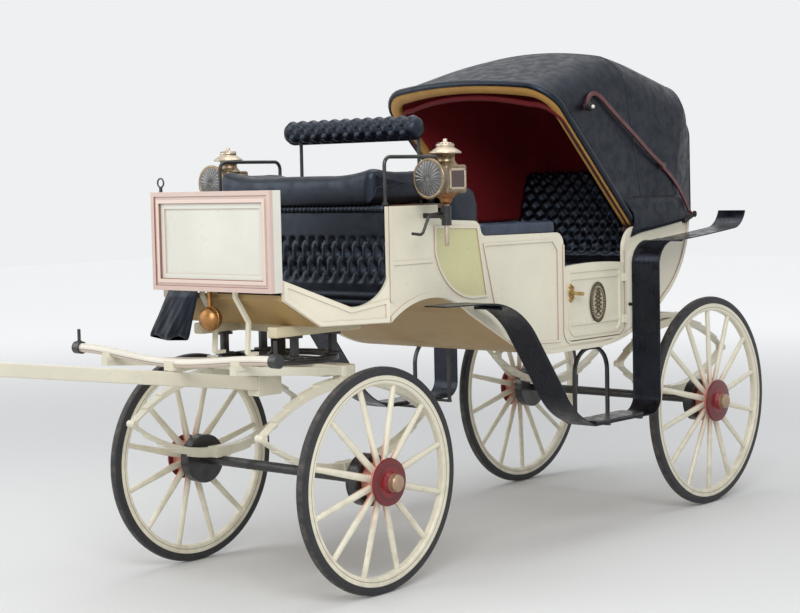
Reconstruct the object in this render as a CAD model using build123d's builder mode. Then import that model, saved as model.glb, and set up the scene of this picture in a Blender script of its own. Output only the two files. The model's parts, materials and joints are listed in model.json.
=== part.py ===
"""Four-wheeled horse drawn carriage with a driver's box, two facing seats and a folding hood.

Millimetres. The horse end faces -Y, the vehicle's left side is +X and +Z is up.
Stations are distances behind the front axle, and heights are taken from the ground.
The origin is on the ground, at the middle of the carriage's length and width.
"""
from build123d import *
from math import atan2, cos, degrees, hypot, radians, sin, sqrt
import os

os.makedirs("parts", exist_ok=True)

# Running gear
wheelbase = 2820
front_wheel_r = 527.5
rear_wheel_r = 600
front_half_track = 630
rear_half_track = 677
tyre_width = 45
tyre_depth = 40
felloe_width = 42
felloe_depth = 42
nave_r = 84
nave_width = 92
nave_offset = 14
spoke_foot = 38
spoke_tip = 26
cap_r = 40
cap_reach = 62
cap_flat_r = 14
drum_r = 122
drum_width = 52
running_clearance = 3
spindle_r = 20
axle_r = 25
spring_half_track = 435
spring_half_length = 555
spring_rise = 178
leaf_thickness = 9
leaf_count = 5
leaf_width = 48
clip_length = 96
seat_gap = 0.3
running_gap = 0.05

# Draught gear
pole_reach = 2900
pole_width = 58
pole_height = 68
pole_root_station = -40
pole_root_z = 940
pole_slope = 8.0
pole_eye_r = 14
pole_eye_thickness = 22
splinter_station = -676
splinter_half = 640
splinter_end_z = 1142
splinter_dip = 40
splinter_r = 22
trace_pin_r = 8
trace_pin_length = 58
trace_collar_r = 13
trace_collar_rise = 2
futchell_size = 38

# Fifth wheel
ring_r = 290
ring_width = 40
ring_thickness = 14
bed_half = 470
bed_depth = 92
bed_height = 52
king_pin_r = 18

# Body
half_width = 600
side_thickness = 22
floor_thickness = 20
box_station = 140
wing_front_half = 400
wing_band = 56
sweep_z = 1328
sweep_top = 1560
dash_station = -410
dash_thickness = 50
dash_bottom = 1410
dash_top = 1872
toe_station = -190
front_floor_z = 1245
arch_station = 410
arch_top_z = 1342
kick_station = 740
kick_end_station = 1085
kick_end_z = 1062
cabin_front_station = 1400
cabin_floor_z = 990
rise_station = 1850
tail_station = 2750
tail_z = 1652
box_top = 1785
quarter_top = 1712
waist_z = 1622
door_front = 1520
door_rear = 2080
door_top = 1435
door_bottom = 1043
door_gap = 5
door_corner_r = 57
door_arch = 12
hinge_proud = 12
knuckle_r = 5.5
bead = 12
bead_proud = 6

# Seats
seat_board_z = 1790
box_back_station = 620
cushion_gap = 0.4
driver_cushion_height = 140
roll_r = 64
roll_half = 450
roll_station = 560
roll_z = 2159
rail_r = 9
rail_half = 556
rail_top_z = 2015
bench_z = 1345
bench_cushion = 112

# Fenders and steps
fender_inner = half_width + 25
fender_width = 177
fender_outer = fender_inner + fender_width
fender_thickness = 6
fender_rear = 3045
step_z = 612
step_station = 1765
step_length = 440
step_thickness = 14

# Lamps
lamp_x = 735
lamp_station = 400
lens_z = 1909
lens_r = 92
lens_station = 277
brim_z = 2012
brim_r = 78
socket_z = 1735
stem_z = 1593

# Hood
pivot_station = 2235
pivot_z = 1607
pivot_pin_r = 10
bow_thickness = 14
bow_depth = 26
bow_pitch = 20
hood_half = 572
leather = 7
hood_corner_r = 150
hood_crown = 70
knob_station = 1742
knob_z = 2272
iron_anchor_station = 2800
iron_anchor_z = 1678
knuckle_station = 2497
knuckle_z = 1957
iron_x = 578
iron_pitch = 16
iron_width = 22
iron_thickness = 9
iron_eye_r = 18
iron_pin_r = 8

# The carriage is centred between the pole's tip and the back of the rear wheels.
front_axle_y = (pole_reach - wheelbase - rear_wheel_r) / 2


def side_at(x):
    """Plane of a side view: local x is the station, local y is the height."""
    return Plane(origin=(x, front_axle_y, 0), x_dir=(0, 1, 0), z_dir=(1, 0, 0))


def plan_at(z):
    """Plane of a plan view: local y is the station."""
    return Plane(origin=(0, front_axle_y, z), x_dir=(1, 0, 0), z_dir=(0, 0, 1))


def front_at(station):
    """Plane of a front view that faces the horses: local y is the height."""
    return Plane(origin=(0, front_axle_y + station, 0), x_dir=(1, 0, 0), z_dir=(0, -1, 0))


def write(name, part):
    part.label = name
    export_step(part, f"parts/{name}.step")


def mirrored(part):
    """The same piece on the vehicle's right side."""
    with BuildPart() as twin:
        mirror(part, about=Plane.YZ)
    return twin.part


# Wheels
# columns: name, tyre radius, half track, station, spokes, flange radius
wheel_table = [
    ("front", front_wheel_r, front_half_track, 0, 12, 112),
    ("rear", rear_wheel_r, rear_half_track, wheelbase, 14, 122),
]
flange_thickness = 12
flange_step = nave_offset + nave_width / 2
drum_step = nave_offset - nave_width / 2
bore_r = spindle_r + running_gap


def make_tyre(radius, plane):
    """A solid rubber tyre with rounded shoulders."""
    shoulder = tyre_width / 3
    crown = 4
    with BuildPart() as tyre:
        with BuildSketch(Plane.XZ) as section:
            with BuildLine():
                Polyline(
                    (-tyre_width / 2, radius - tyre_depth),
                    (-tyre_width / 2, radius - shoulder),
                    (-tyre_width / 2 + crown, radius - crown),
                    (-crown, radius),
                    (crown, radius),
                    (tyre_width / 2 - crown, radius - crown),
                    (tyre_width / 2, radius - shoulder),
                    (tyre_width / 2, radius - tyre_depth),
                    close=True,
                )
            make_face()
        revolve(axis=Axis.X)
    return plane.location * tyre.part


def make_wheel(radius, spokes, plane):
    """Wooden wheel: felloe ring, tapered spokes and a turned nave with its axle bore."""
    felloe_outer = radius - tyre_depth
    felloe_inner = felloe_outer - felloe_depth
    sink = 6
    with BuildPart() as wheel:
        with BuildSketch(Plane.XZ):
            with Locations((0, (felloe_outer + felloe_inner) / 2)):
                felloe = Rectangle(felloe_width, felloe_depth)
            fillet(felloe.vertices().group_by(Axis.Y)[0], felloe_depth / 4)
        revolve(axis=Axis.X)
        with BuildSketch(Plane.XZ):
            with Locations((nave_offset, (nave_r + bore_r) / 2)):
                Rectangle(nave_width, nave_r - bore_r)
        revolve(axis=Axis.X)
        for number in range(spokes):
            angle = radians((number + 0.5) * 360 / spokes)
            outward = Vector(0, cos(angle), sin(angle))
            foot = Vector(nave_offset, 0, 0) + outward * (nave_r - sink)
            tip = outward * (felloe_inner + sink)
            lean = (tip - foot).normalized()
            across = Vector(1, 0, 0) - lean * lean.X
            with BuildSketch(Plane(origin=foot, x_dir=across, z_dir=lean)):
                Ellipse(spoke_tip / 2, spoke_foot / 2)
            with BuildSketch(Plane(origin=tip, x_dir=across, z_dir=lean)):
                Circle(spoke_tip / 2)
            loft()
    return plane.location * wheel.part


def make_hub(flange_r, plane):
    """Outer flange with its cone and domed cap, and the brake drum inside the wheel."""
    flange_outer = flange_step + flange_thickness
    cone_end = flange_outer + 24
    cap_end = flange_outer + cap_reach
    drum_outer = drum_step - seat_gap
    with BuildPart() as hub:
        with BuildSketch(Plane.XZ):
            with BuildLine():
                Polyline(
                    (flange_step + seat_gap, bore_r),
                    (flange_step + seat_gap, flange_r),
                    (flange_outer, flange_r - 4),
                    (flange_outer + 4, flange_r * 0.62),
                    (flange_outer + 4, cap_r + 12),
                    (cone_end, cap_r + 4),
                    (cone_end, cap_r),
                    (cap_end - 14, cap_r),
                )
                ThreePointArc(
                    (cap_end - 14, cap_r), (cap_end - 5, cap_r * 0.74), (cap_end, cap_flat_r)
                )
                Polyline(
                    (cap_end, cap_flat_r),
                    (cap_end, 0),
                    (cap_end - 12, 0),
                    (cap_end - 12, bore_r),
                    (flange_step + seat_gap, bore_r),
                )
            make_face()
        revolve(axis=Axis.X)
        with BuildSketch(Plane.XZ):
            with BuildLine():
                Polyline(
                    (drum_outer, bore_r),
                    (drum_outer, drum_r - 10),
                    (drum_outer - 8, drum_r),
                    (drum_outer - drum_width, drum_r),
                    (drum_outer - drum_width, drum_r - 9),
                    (drum_outer - 12, drum_r - 9),
                    (drum_outer - 12, bore_r),
                    close=True,
                )
            make_face()
        revolve(axis=Axis.X)
    return plane.location * hub.part


for name, radius, half_track, station, spokes, flange_r in wheel_table:
    wheel_plane = Plane(origin=(half_track, front_axle_y + station, radius))
    for piece, solid in (
        ("tyre", make_tyre(radius, wheel_plane)),
        ("wheel", make_wheel(radius, spokes, wheel_plane)),
        ("hub", make_hub(flange_r, wheel_plane)),
    ):
        write(f"{piece}_{name}_left", solid)
        write(f"{piece}_{name}_right", mirrored(solid))


# Axles, each with its backing plates just inside the drums
def make_axle(half_track, station, z):
    axle_end = half_track + flange_step + flange_thickness + cap_reach - 20
    shoulder = half_track + drum_step - drum_width - running_clearance
    with BuildPart(side_at(0)) as axle:
        with BuildSketch(side_at(0)):
            with Locations((station, z)):
                Circle(axle_r)
        extrude(amount=shoulder, both=True)
        with BuildSketch(side_at(0)):
            with Locations((station, z)):
                Circle(spindle_r)
        extrude(amount=axle_end, both=True)
        for x in (shoulder - 8, -shoulder):
            with BuildSketch(side_at(x)):
                with Locations((station, z)):
                    Circle(drum_r)
            extrude(amount=8)
    return axle.part


write("front_axle", make_axle(front_half_track, 0, front_wheel_r))
write("rear_axle", make_axle(rear_half_track, wheelbase, rear_wheel_r))


# Full elliptic springs, one each side, lengthwise, clipped to the axle below
def make_springs(station, axle_z):
    eye_z = axle_z + axle_r + seat_gap + leaf_thickness * leaf_count + spring_rise
    arc_r = (spring_half_length**2 + spring_rise**2) / (2 * spring_rise)
    full = degrees(atan2(spring_half_length, arc_r - spring_rise))
    clip_height = leaf_thickness * leaf_count + 8
    with BuildPart() as springs:
        with BuildSketch(side_at(spring_half_track)) as leaves:
            for up in (1, -1):
                centre = (station, eye_z - up * (arc_r - spring_rise))
                for number in range(leaf_count):
                    inner_r = arc_r + number * leaf_thickness
                    outer_r = inner_r + leaf_thickness
                    half_angle = full * (1 - number * 0.17)
                    start = (90 if up > 0 else 270) - half_angle
                    with BuildLine():
                        inner = CenterArc(centre, inner_r, start, 2 * half_angle)
                        outer = CenterArc(centre, outer_r, start, 2 * half_angle)
                        Line(inner @ 0, outer @ 0)
                        Line(inner @ 1, outer @ 1)
                    make_face()
            with Locations(
                (station - spring_half_length, eye_z), (station + spring_half_length, eye_z)
            ):
                Circle(leaf_thickness * 2)
        extrude(amount=leaf_width / 2, both=True)
        for up in (1, -1):
            middle = eye_z + up * (spring_rise + clip_height / 2 - 4)
            with Locations((spring_half_track, front_axle_y + station, middle)):
                Box(leaf_width + 16, clip_length, clip_height)
        with BuildSketch(side_at(spring_half_track)):
            with Locations((station, axle_z)):
                Circle(axle_r + seat_gap)
        extrude(amount=leaf_width, both=True, mode=Mode.SUBTRACT)
        mirror(about=Plane.YZ)
    return springs.part, eye_z + spring_rise + clip_height - 4


front_springs, front_spring_top = make_springs(0, front_wheel_r)
rear_springs, rear_spring_top = make_springs(wheelbase, rear_wheel_r)
write("front_springs", front_springs)
write("rear_springs", rear_springs)

# Turning bed on the front springs, with the pole's socket under it
bed_bottom = front_spring_top + seat_gap
bed_top = bed_bottom + bed_height
socket_wall = 9
socket_length = 150
socket_bottom = pole_root_z - pole_height / 2 - socket_wall
pole_plane = Plane(
    origin=(0, front_axle_y + pole_root_station, pole_root_z),
    x_dir=(1, 0, 0),
    z_dir=(0, -cos(radians(pole_slope)), sin(radians(pole_slope))),
)
with BuildPart() as front_bed:
    with BuildSketch(plan_at(bed_bottom)):
        Rectangle(2 * bed_half, bed_depth)
        fillet(vertices(), bed_depth / 4)
    extrude(amount=bed_height)
    with BuildSketch(plan_at(bed_bottom)):
        Rectangle(2 * bed_half - 160, bed_depth * 2)
        fillet(vertices(), bed_depth / 4)
    extrude(amount=bed_height / 2)
    with BuildSketch(plan_at(socket_bottom)):
        with Locations((0, pole_root_station - socket_length / 2 + 2 * socket_wall)):
            Rectangle(pole_width + 2 * socket_wall, socket_length)
    extrude(amount=bed_bottom - socket_bottom + bed_height / 2)
    with BuildSketch(pole_plane.offset(-seat_gap)):
        Rectangle(pole_width + 2 * seat_gap, pole_height + 2 * seat_gap)
    extrude(amount=2 * socket_length, mode=Mode.SUBTRACT)
write("front_bed", front_bed.part)

ring_bottom = bed_top + seat_gap
with BuildPart() as ring_lower:
    with BuildSketch(plan_at(ring_bottom)):
        Circle(ring_r)
        Circle(ring_r - ring_width, mode=Mode.SUBTRACT)
        Rectangle(2 * ring_r - ring_width, ring_width)
        Circle(3 * king_pin_r)
    extrude(amount=ring_thickness)
    with BuildSketch(plan_at(ring_bottom)):
        Circle(king_pin_r)
    extrude(amount=2 * ring_thickness)
write("turntable_lower", ring_lower.part)

upper_ring_bottom = ring_bottom + ring_thickness + seat_gap
with BuildPart() as ring_upper:
    with BuildSketch(plan_at(upper_ring_bottom)):
        Circle(ring_r)
        Circle(ring_r - ring_width, mode=Mode.SUBTRACT)
        Rectangle(2 * ring_r - ring_width, ring_width)
        Circle(3 * king_pin_r)
        Circle(king_pin_r + running_gap, mode=Mode.SUBTRACT)
    extrude(amount=ring_thickness)
    with BuildSketch(plan_at(upper_ring_bottom + ring_thickness)):
        with GridLocations(2 * ring_r - 2 * ring_width, 0, 2, 1):
            Rectangle(ring_width * 1.6, 2 * ring_r)
        Rectangle(2 * ring_r - ring_width, ring_width * 2)
    extrude(amount=front_floor_z - seat_gap - upper_ring_bottom - ring_thickness)
write("turntable_upper", ring_upper.part)

# Pole, rising towards the horses, with an eye at its head
head_width = pole_width * 0.8
eye_station = 2 * pole_eye_r - pole_reach
eye_neck = 3 * pole_eye_r
pole_length = (pole_root_station - eye_station - eye_neck) / cos(radians(pole_slope))
with BuildPart() as pole:
    with BuildSketch(pole_plane) as pole_root:
        Rectangle(pole_width, pole_height)
        fillet(vertices(), 6)
    with BuildSketch(pole_plane.offset(pole_length)) as pole_head:
        Rectangle(head_width, pole_height * 0.8)
        fillet(vertices(), 6)
    loft()
write("pole", pole.part)

splinter_reach = (pole_root_station - splinter_station) / cos(radians(pole_slope))
pole_tip_z = pole_root_z + pole_length * sin(radians(pole_slope))

# Splinter bar that dips to the pole, with a capped roller pin at each end
splinter_mid_z = splinter_end_z - splinter_dip


def sweep_bar(radius):
    """The splinter bar's round section carried along its dipped line."""
    y = front_axle_y + splinter_station
    quarter_z = (splinter_end_z + splinter_mid_z) / 2
    with BuildPart() as bar:
        with BuildLine():
            Spline(
                (-splinter_half, y, splinter_end_z),
                (-splinter_half / 2, y, quarter_z),
                (0, y, splinter_mid_z),
                (splinter_half / 2, y, quarter_z),
                (splinter_half, y, splinter_end_z),
                tangents=((1, 0, 0), (1, 0, 0)),
            )
        with BuildSketch(side_at(-splinter_half)):
            with Locations((splinter_station, splinter_end_z)):
                Circle(radius)
        sweep()
    return bar.part


write("splinter_bar", sweep_bar(splinter_r))

# Draught irons: the pole's eye, and a roller with its collared trace pin at each bar end
roller_r = splinter_r + 8
roller_length = 44
with BuildPart() as draught_irons:
    with BuildSketch(plan_at(pole_tip_z - pole_eye_thickness / 2)):
        with Locations((0, eye_station)):
            Circle(2 * pole_eye_r)
        with Locations((0, eye_station + eye_neck)):
            Rectangle(head_width, 2 * eye_neck - 3 * pole_eye_r)
        with Locations((0, eye_station)):
            Circle(pole_eye_r, mode=Mode.SUBTRACT)
    extrude(amount=pole_eye_thickness)
    split(bisect_by=pole_plane.offset(pole_length + seat_gap), keep=Keep.TOP)
    with BuildPart(mode=Mode.PRIVATE) as rollers:
        with BuildSketch(side_at(splinter_half + seat_gap)):
            with Locations((splinter_station, splinter_end_z)):
                Circle(roller_r)
        extrude(amount=roller_length)
        for radius, rise in ((trace_collar_r, trace_collar_rise), (trace_pin_r, trace_pin_length)):
            with BuildSketch(plan_at(splinter_end_z)):
                with Locations((splinter_half + roller_length / 2, splinter_station)):
                    Circle(radius)
            extrude(amount=roller_r + rise)
        mirror(about=Plane.YZ)
    add(rollers.part)
write("draught_irons", draught_irons.part)

# Futchells from the bed forward to the splinter bar, with the saddle that the bar lies in
futchell_x = 435
futchell_back_z = bed_bottom + bed_height / 2
futchell_front_z = splinter_mid_z - splinter_r / 2
saddle_top = splinter_end_z - splinter_r / 2
with BuildPart() as futchells:
    with BuildSketch(side_at(futchell_x - futchell_size / 2)):
        with BuildLine():
            half = futchell_size / 2
            front_end = splinter_station - 40
            Polyline(
                (front_end, futchell_front_z - half),
                (-bed_depth / 2 - seat_gap, futchell_back_z - half),
                (-bed_depth / 2 - seat_gap, futchell_back_z + half),
                (front_end, futchell_front_z + half),
                close=True,
            )
        make_face()
    extrude(amount=futchell_size)
    with BuildSketch(side_at(futchell_x - futchell_size / 2 - 6)):
        with Locations((splinter_station, (saddle_top + futchell_front_z) / 2)):
            Rectangle(2.6 * splinter_r, saddle_top - futchell_front_z)
    extrude(amount=futchell_size + 12)
    mirror(about=Plane.YZ)
    with BuildSketch(side_at(-pole_width / 2)):
        with Locations((splinter_station, splinter_mid_z - splinter_r / 2)):
            Rectangle(2.4 * splinter_r, 2 * splinter_r)
    extrude(amount=pole_width)
    with BuildSketch(pole_plane.offset(splinter_reach - 100)):
        Rectangle(2 * pole_width, pole_height + 2 * seat_gap)
    extrude(amount=200, mode=Mode.SUBTRACT)
    add(sweep_bar(splinter_r + seat_gap), mode=Mode.SUBTRACT)
write("futchells", futchells.part)


# Body outline: the underside from the dash's foot to the tail, closed above the seats
def lower_edge():
    """Lines under the body: over the front wheels, down to the cabin floor and up to the tail."""
    tail_low = (2500, 1227)
    ThreePointArc(
        (box_station, front_floor_z), (arch_station, arch_top_z), (kick_station, front_floor_z)
    )
    Line((kick_station, front_floor_z), (kick_end_station, kick_end_z))
    ThreePointArc(
        (kick_end_station, kick_end_z), (1220, 1014), (cabin_front_station, cabin_floor_z)
    )
    Line((cabin_front_station, cabin_floor_z), (rise_station, cabin_floor_z))
    ThreePointArc((rise_station, cabin_floor_z), (2200, 1062), tail_low)
    ThreePointArc(tail_low, (2678, 1416), (tail_station, tail_z))


def underside():
    """Lines of the body's underside and tail, from the dash back and up."""
    Polyline((dash_station, dash_bottom), (toe_station, front_floor_z), (box_station, front_floor_z))
    lower_edge()


def body_shell(x_half, first, last):
    """A stretch of the underside's shell between two stations, across the body."""
    top = 3000
    with BuildPart() as shell:
        with BuildSketch(side_at(0)):
            with BuildLine():
                underside()
                Polyline(
                    (tail_station, tail_z),
                    (tail_station, top),
                    (dash_station, top),
                    (dash_station, dash_bottom),
                )
            make_face()
            offset(amount=-floor_thickness, mode=Mode.SUBTRACT)
            with Locations(((first + last) / 2, tail_z / 2)):
                Rectangle(last - first, tail_z, mode=Mode.INTERSECT)
        extrude(amount=x_half, both=True)
    return shell.part


def room_outline(gap):
    """Side view of the room inside the body's shell, kept off the shell by a gap."""
    top = 3000
    with BuildSketch() as outline:
        with BuildLine():
            underside()
            Polyline(
                (tail_station, tail_z),
                (tail_station, top),
                (dash_station, top),
                (dash_station, dash_bottom),
            )
        make_face()
        offset(amount=-floor_thickness - gap)
    return outline.sketch


inner_half = half_width - side_thickness - seat_gap
wing_station = dash_station + dash_thickness + seat_gap
wing_run = box_station - wing_station
wing_length = hypot(half_width - wing_front_half, wing_run)
wing_toe = wing_length * (toe_station - wing_station) / wing_run
wing_low_z = dash_bottom - 38
sweep_start = wing_length * 0.63
wing_plane = Plane(
    origin=(wing_front_half, front_axle_y + wing_station, 0),
    x_dir=(half_width - wing_front_half, wing_run, 0),
    z_dir=(wing_run, wing_front_half - half_width, 0),
)

with BuildPart() as floor_front:
    add(body_shell(inner_half, dash_station + dash_thickness + seat_gap, kick_station))
    wing_inset = side_thickness * wing_length / wing_run + seat_gap
    with BuildSketch(plan_at(dash_bottom - 300)):
        with BuildLine():
            Polyline(
                (half_width - wing_inset, box_station),
                (wing_front_half - wing_inset, wing_station),
                (wing_inset - wing_front_half, wing_station),
                (wing_inset - half_width, box_station),
                (wing_inset - half_width, kick_station),
                (half_width - wing_inset, kick_station),
                close=True,
            )
        make_face()
    extrude(amount=600, mode=Mode.INTERSECT)
write("floor_front", floor_front.part)

with BuildPart() as floor_cabin:
    add(body_shell(inner_half, kick_station + seat_gap, rise_station + 250))
write("floor_cabin", floor_cabin.part)

with BuildPart() as rear_panel:
    add(body_shell(inner_half, rise_station + 250 + seat_gap, tail_station))
write("rear_panel", rear_panel.part)


# Sides, each one panel from the box to the tail with the doorway cut from its top
def side_outline():
    """Closed outline of a side behind the driver's box front."""
    step_r = 34
    with BuildSketch() as outline:
        with BuildLine():
            lower_edge()
            Line((tail_station, tail_z), (2215, 1626))
            ThreePointArc((2215, 1626), (2118, 1590), (door_rear, 1500))
            Polyline(
                (door_rear, 1500),
                (door_rear, door_bottom - door_gap),
                (door_front, door_bottom - door_gap),
                (door_front, waist_z - 70),
            )
            ThreePointArc(
                (door_front, waist_z - 70),
                (door_front - 21, waist_z - 21),
                (door_front - 70, waist_z - 4),
            )
            Line((door_front - 70, waist_z - 4), (870, waist_z))
            ThreePointArc((870, waist_z), (840, waist_z + 10), (826, waist_z + 36))
            ThreePointArc((826, waist_z + 36), (806, quarter_top - 24), (770, quarter_top - 12))
            Line((770, quarter_top - 12), (500 + step_r, quarter_top))
            ThreePointArc(
                (500 + step_r, quarter_top), (500 + 8, quarter_top + 12), (500, quarter_top + step_r)
            )
            Polyline(
                (500, quarter_top + step_r),
                (500, box_top),
                (box_station, box_top),
                (box_station, front_floor_z),
            )
        make_face()
        sill_z = door_bottom - door_gap
        sill = outline.vertices().filter_by_position(Axis.Y, sill_z - 1, sill_z + 1)
        fillet(sill, door_corner_r + door_gap)
    return outline.sketch


def door_outline():
    """Closed outline of a door: round lower corners and a slightly arched top."""
    front, rear = door_front + door_gap, door_rear - door_gap
    with BuildSketch() as outline:
        with BuildLine():
            Polyline((front, door_top), (front, door_bottom), (rear, door_bottom), (rear, door_top))
            ThreePointArc(
                (rear, door_top), ((front + rear) / 2, door_top + door_arch), (front, door_top)
            )
        make_face()
        fillet(outline.vertices().group_by(Axis.Y)[0], door_corner_r)
    return outline.sketch


with BuildPart() as side_left:
    with BuildSketch(side_at(half_width - side_thickness)):
        add(side_outline())
    extrude(amount=side_thickness)
    with BuildSketch(wing_plane):
        with BuildLine():
            Polyline(
                (wing_length, sweep_top),
                (wing_length, front_floor_z),
                (wing_toe, front_floor_z),
                (0, wing_low_z),
                (0, dash_bottom + wing_band),
                (sweep_start, sweep_z),
            )
            ThreePointArc(
                (sweep_start, sweep_z),
                (wing_length * 0.88, sweep_z + 44),
                (wing_length, sweep_top),
            )
        make_face()
    extrude(amount=-side_thickness)
write("side_left", side_left.part)
write("side_right", mirrored(side_left.part))

# Raised mouldings on the sides: the edge band, the main panel, the quarter panel and a belt
with BuildPart() as mouldings:
    with BuildSketch(side_at(half_width + seat_gap)):
        with BuildLine():
            Line((box_station, box_top), (box_station, arch_top_z))
        trace(line_width=4 * bead)
        with BuildLine():
            lower_edge()
        trace(line_width=4 * bead)
        with BuildLine():
            FilletPolyline(
                (door_front, waist_z - 70),
                (door_front, door_bottom - door_gap),
                (door_rear, door_bottom - door_gap),
                (door_rear, 1500),
                radius=door_corner_r + door_gap,
            )
        trace(line_width=2 * bead)
        add(side_outline(), mode=Mode.INTERSECT)
    extrude(amount=bead_proud)
    with BuildSketch(side_at(half_width + seat_gap)):
        with BuildLine():
            Polyline(
                (838, 1585),
                (930, 1255),
                (1150, 1100),
                (1260, 1055),
                (door_front - 50, 1045),
                (door_front - 50, 1530),
                (door_front - 100, 1585),
                close=True,
            )
        make_face()
        offset(amount=-bead, mode=Mode.SUBTRACT)
    extrude(amount=bead_proud)
    with BuildSketch(side_at(half_width + seat_gap)):
        with BuildLine():
            Polyline((800, 1674), (535, 1684), (466, 1684), (466, 1560))
            ThreePointArc((466, 1560), (560, 1400), (800, 1320))
            Polyline((800, 1320), (870, 1320), (800, 1674))
        make_face()
        offset(amount=-bead, mode=Mode.SUBTRACT)
    extrude(amount=bead_proud)
    with BuildSketch(side_at(half_width + seat_gap)):
        with Locations(((box_station + 2 * bead + 450) / 2, 1520)):
            Rectangle(450 - box_station - 2 * bead, bead * 1.5)
    extrude(amount=bead_proud)
    with BuildSketch(wing_plane.offset(seat_gap)):
        with BuildLine():
            Polyline(
                (wing_length - 4, front_floor_z + 4),
                (wing_toe, front_floor_z + 4),
                (4, wing_low_z + 3),
                (4, dash_bottom + wing_band - 6),
                (sweep_start, sweep_z - 6),
                (wing_length - 4, sweep_z + 30),
                close=True,
            )
        make_face()
        offset(amount=-bead * 1.6, mode=Mode.SUBTRACT)
    extrude(amount=bead_proud)
    mirror(about=Plane.YZ)
write("mouldings", mouldings.part)

# Dash: a deep frame with stepped mouldings round a flat panel
dash_mid_z = (dash_bottom + dash_top) / 2
with BuildPart() as dash:
    with BuildSketch(front_at(dash_station + dash_thickness)):
        with Locations((0, dash_mid_z)):
            Rectangle(2 * wing_front_half, dash_top - dash_bottom)
    extrude(amount=dash_thickness)
write("dash", dash.part)

# columns: inset from the dash's edge, width, proud of the panel
dash_steps = [
    (0, 22, 20),
    (22, 14, 14),
    (36, 18, 19),
    (54, 26, 7),
]
with BuildPart() as dash_frame:
    for inset, width, proud in dash_steps:
        with BuildSketch(front_at(dash_station - seat_gap)):
            with Locations((0, dash_mid_z)):
                Rectangle(2 * (wing_front_half - inset), dash_top - dash_bottom - 2 * inset)
                Rectangle(
                    2 * (wing_front_half - inset - width),
                    dash_top - dash_bottom - 2 * (inset + width),
                    mode=Mode.SUBTRACT,
                )
        extrude(amount=proud)
write("dash_frame", dash_frame.part)

# Doors, hinged at their rear edge
door_width = door_rear - door_front - 2 * door_gap
door_mid = (door_front + door_rear) / 2
door_mid_z = (door_bottom + door_top) / 2
hinge_station = door_rear - 1.5
with BuildPart() as door_left:
    with BuildSketch(side_at(half_width - side_thickness)):
        add(door_outline())
    extrude(amount=side_thickness)
    with BuildSketch(side_at(half_width)):
        with Locations((door_mid, door_mid_z)):
            Rectangle(door_width - 60, door_top - door_bottom - 40)
        fillet(vertices().group_by(Axis.Y)[0], 60)
        offset(amount=-bead * 1.2, mode=Mode.SUBTRACT)
    extrude(amount=bead_proud)
    with BuildSketch(side_at(half_width)):
        for z in (door_top - 24, door_top - 66, door_bottom + 84):
            with Locations((door_mid, z)):
                Rectangle(door_width - 110, bead)
    extrude(amount=bead_proud)
    with BuildSketch(side_at(half_width)):
        with Locations((door_mid + 20, 1232)):
            Ellipse(62, 102)
    extrude(amount=bead_proud)
    with BuildSketch(plan_at(door_bottom + 60)):
        with Locations((half_width + hinge_proud, hinge_station)):
            Circle(knuckle_r)
        with Locations((half_width + hinge_proud / 2 - 1, hinge_station - 10)):
            Rectangle(hinge_proud + 6, 12)
    extrude(amount=44)
    with BuildSketch(plan_at(door_top - 104)):
        with Locations((half_width + hinge_proud, hinge_station)):
            Circle(knuckle_r)
        with Locations((half_width + hinge_proud / 2 - 1, hinge_station - 10)):
            Rectangle(hinge_proud + 6, 12)
    extrude(amount=44)
write("door_left", door_left.part)
write("door_right", mirrored(door_left.part))

with BuildPart() as handle:
    with BuildSketch(side_at(half_width + bead_proud + seat_gap)):
        with Locations((door_front + 46, 1296)):
            Circle(17)
    extrude(amount=8)
    with BuildSketch(side_at(half_width + bead_proud + seat_gap)):
        with Locations((door_front + 46, 1296)):
            Circle(8)
    extrude(amount=34)
    with BuildSketch(side_at(half_width + bead_proud + seat_gap + 26)):
        with Locations((door_front + 74, 1292)):
            SlotOverall(92, 20, rotation=-6)
    extrude(amount=12)
write("handle_left", handle.part)
write("handle_right", mirrored(handle.part))

# Driver's box, which also backs the front passengers' seat
board = 20
box_front = box_station + 46
with BuildPart() as box_seat:
    with BuildSketch(side_at(0)):
        box_length = box_back_station - box_front
        box_height = seat_board_z - front_floor_z - board - 1
        box_mid = (box_front + box_back_station) / 2
        with Locations((box_mid, (front_floor_z + seat_board_z + board) / 2)):
            Rectangle(box_length, box_height)
            Rectangle(box_length - 2 * board, box_height - 2 * board, mode=Mode.SUBTRACT)
        add(room_outline(seat_gap), mode=Mode.INTERSECT)
    extrude(amount=inner_half, both=True)
write("box_seat", box_seat.part)

kick_foot_z = 1312
with BuildPart() as kick_panel:
    with BuildSketch(side_at(0)):
        with Locations((box_front - 21, (kick_foot_z + seat_board_z) / 2)):
            Rectangle(40, seat_board_z - kick_foot_z)
            fillet(vertices(), 14)
    extrude(amount=inner_half - 2, both=True)
write("kick_panel", kick_panel.part)


# Benches: boxes of board under the two passenger seats, open underneath
bench_front_edge = 1110
bench_rear_edge = 2130
bench_span = 340
with BuildPart() as benches:
    with BuildSketch(side_at(0)):
        for first in (bench_front_edge - bench_span, bench_rear_edge):
            with Locations((first + bench_span / 2, bench_z / 2)):
                Rectangle(bench_span, bench_z)
            with Locations((first + bench_span / 2, bench_z / 2 - board)):
                Rectangle(bench_span - 2 * board, bench_z, mode=Mode.SUBTRACT)
        add(room_outline(seat_gap), mode=Mode.INTERSECT)
    extrude(amount=inner_half - 1, both=True)
write("benches", benches.part)


# Cushions and squabs
def soft_block(first, last, bottom, top, x_half, edge):
    with BuildPart() as block:
        with BuildSketch(side_at(0)):
            with Locations(((first + last) / 2, (bottom + top) / 2)):
                Rectangle(last - first, top - bottom)
            fillet(vertices(), edge)
        extrude(amount=x_half, both=True)
    return block.part


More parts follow.
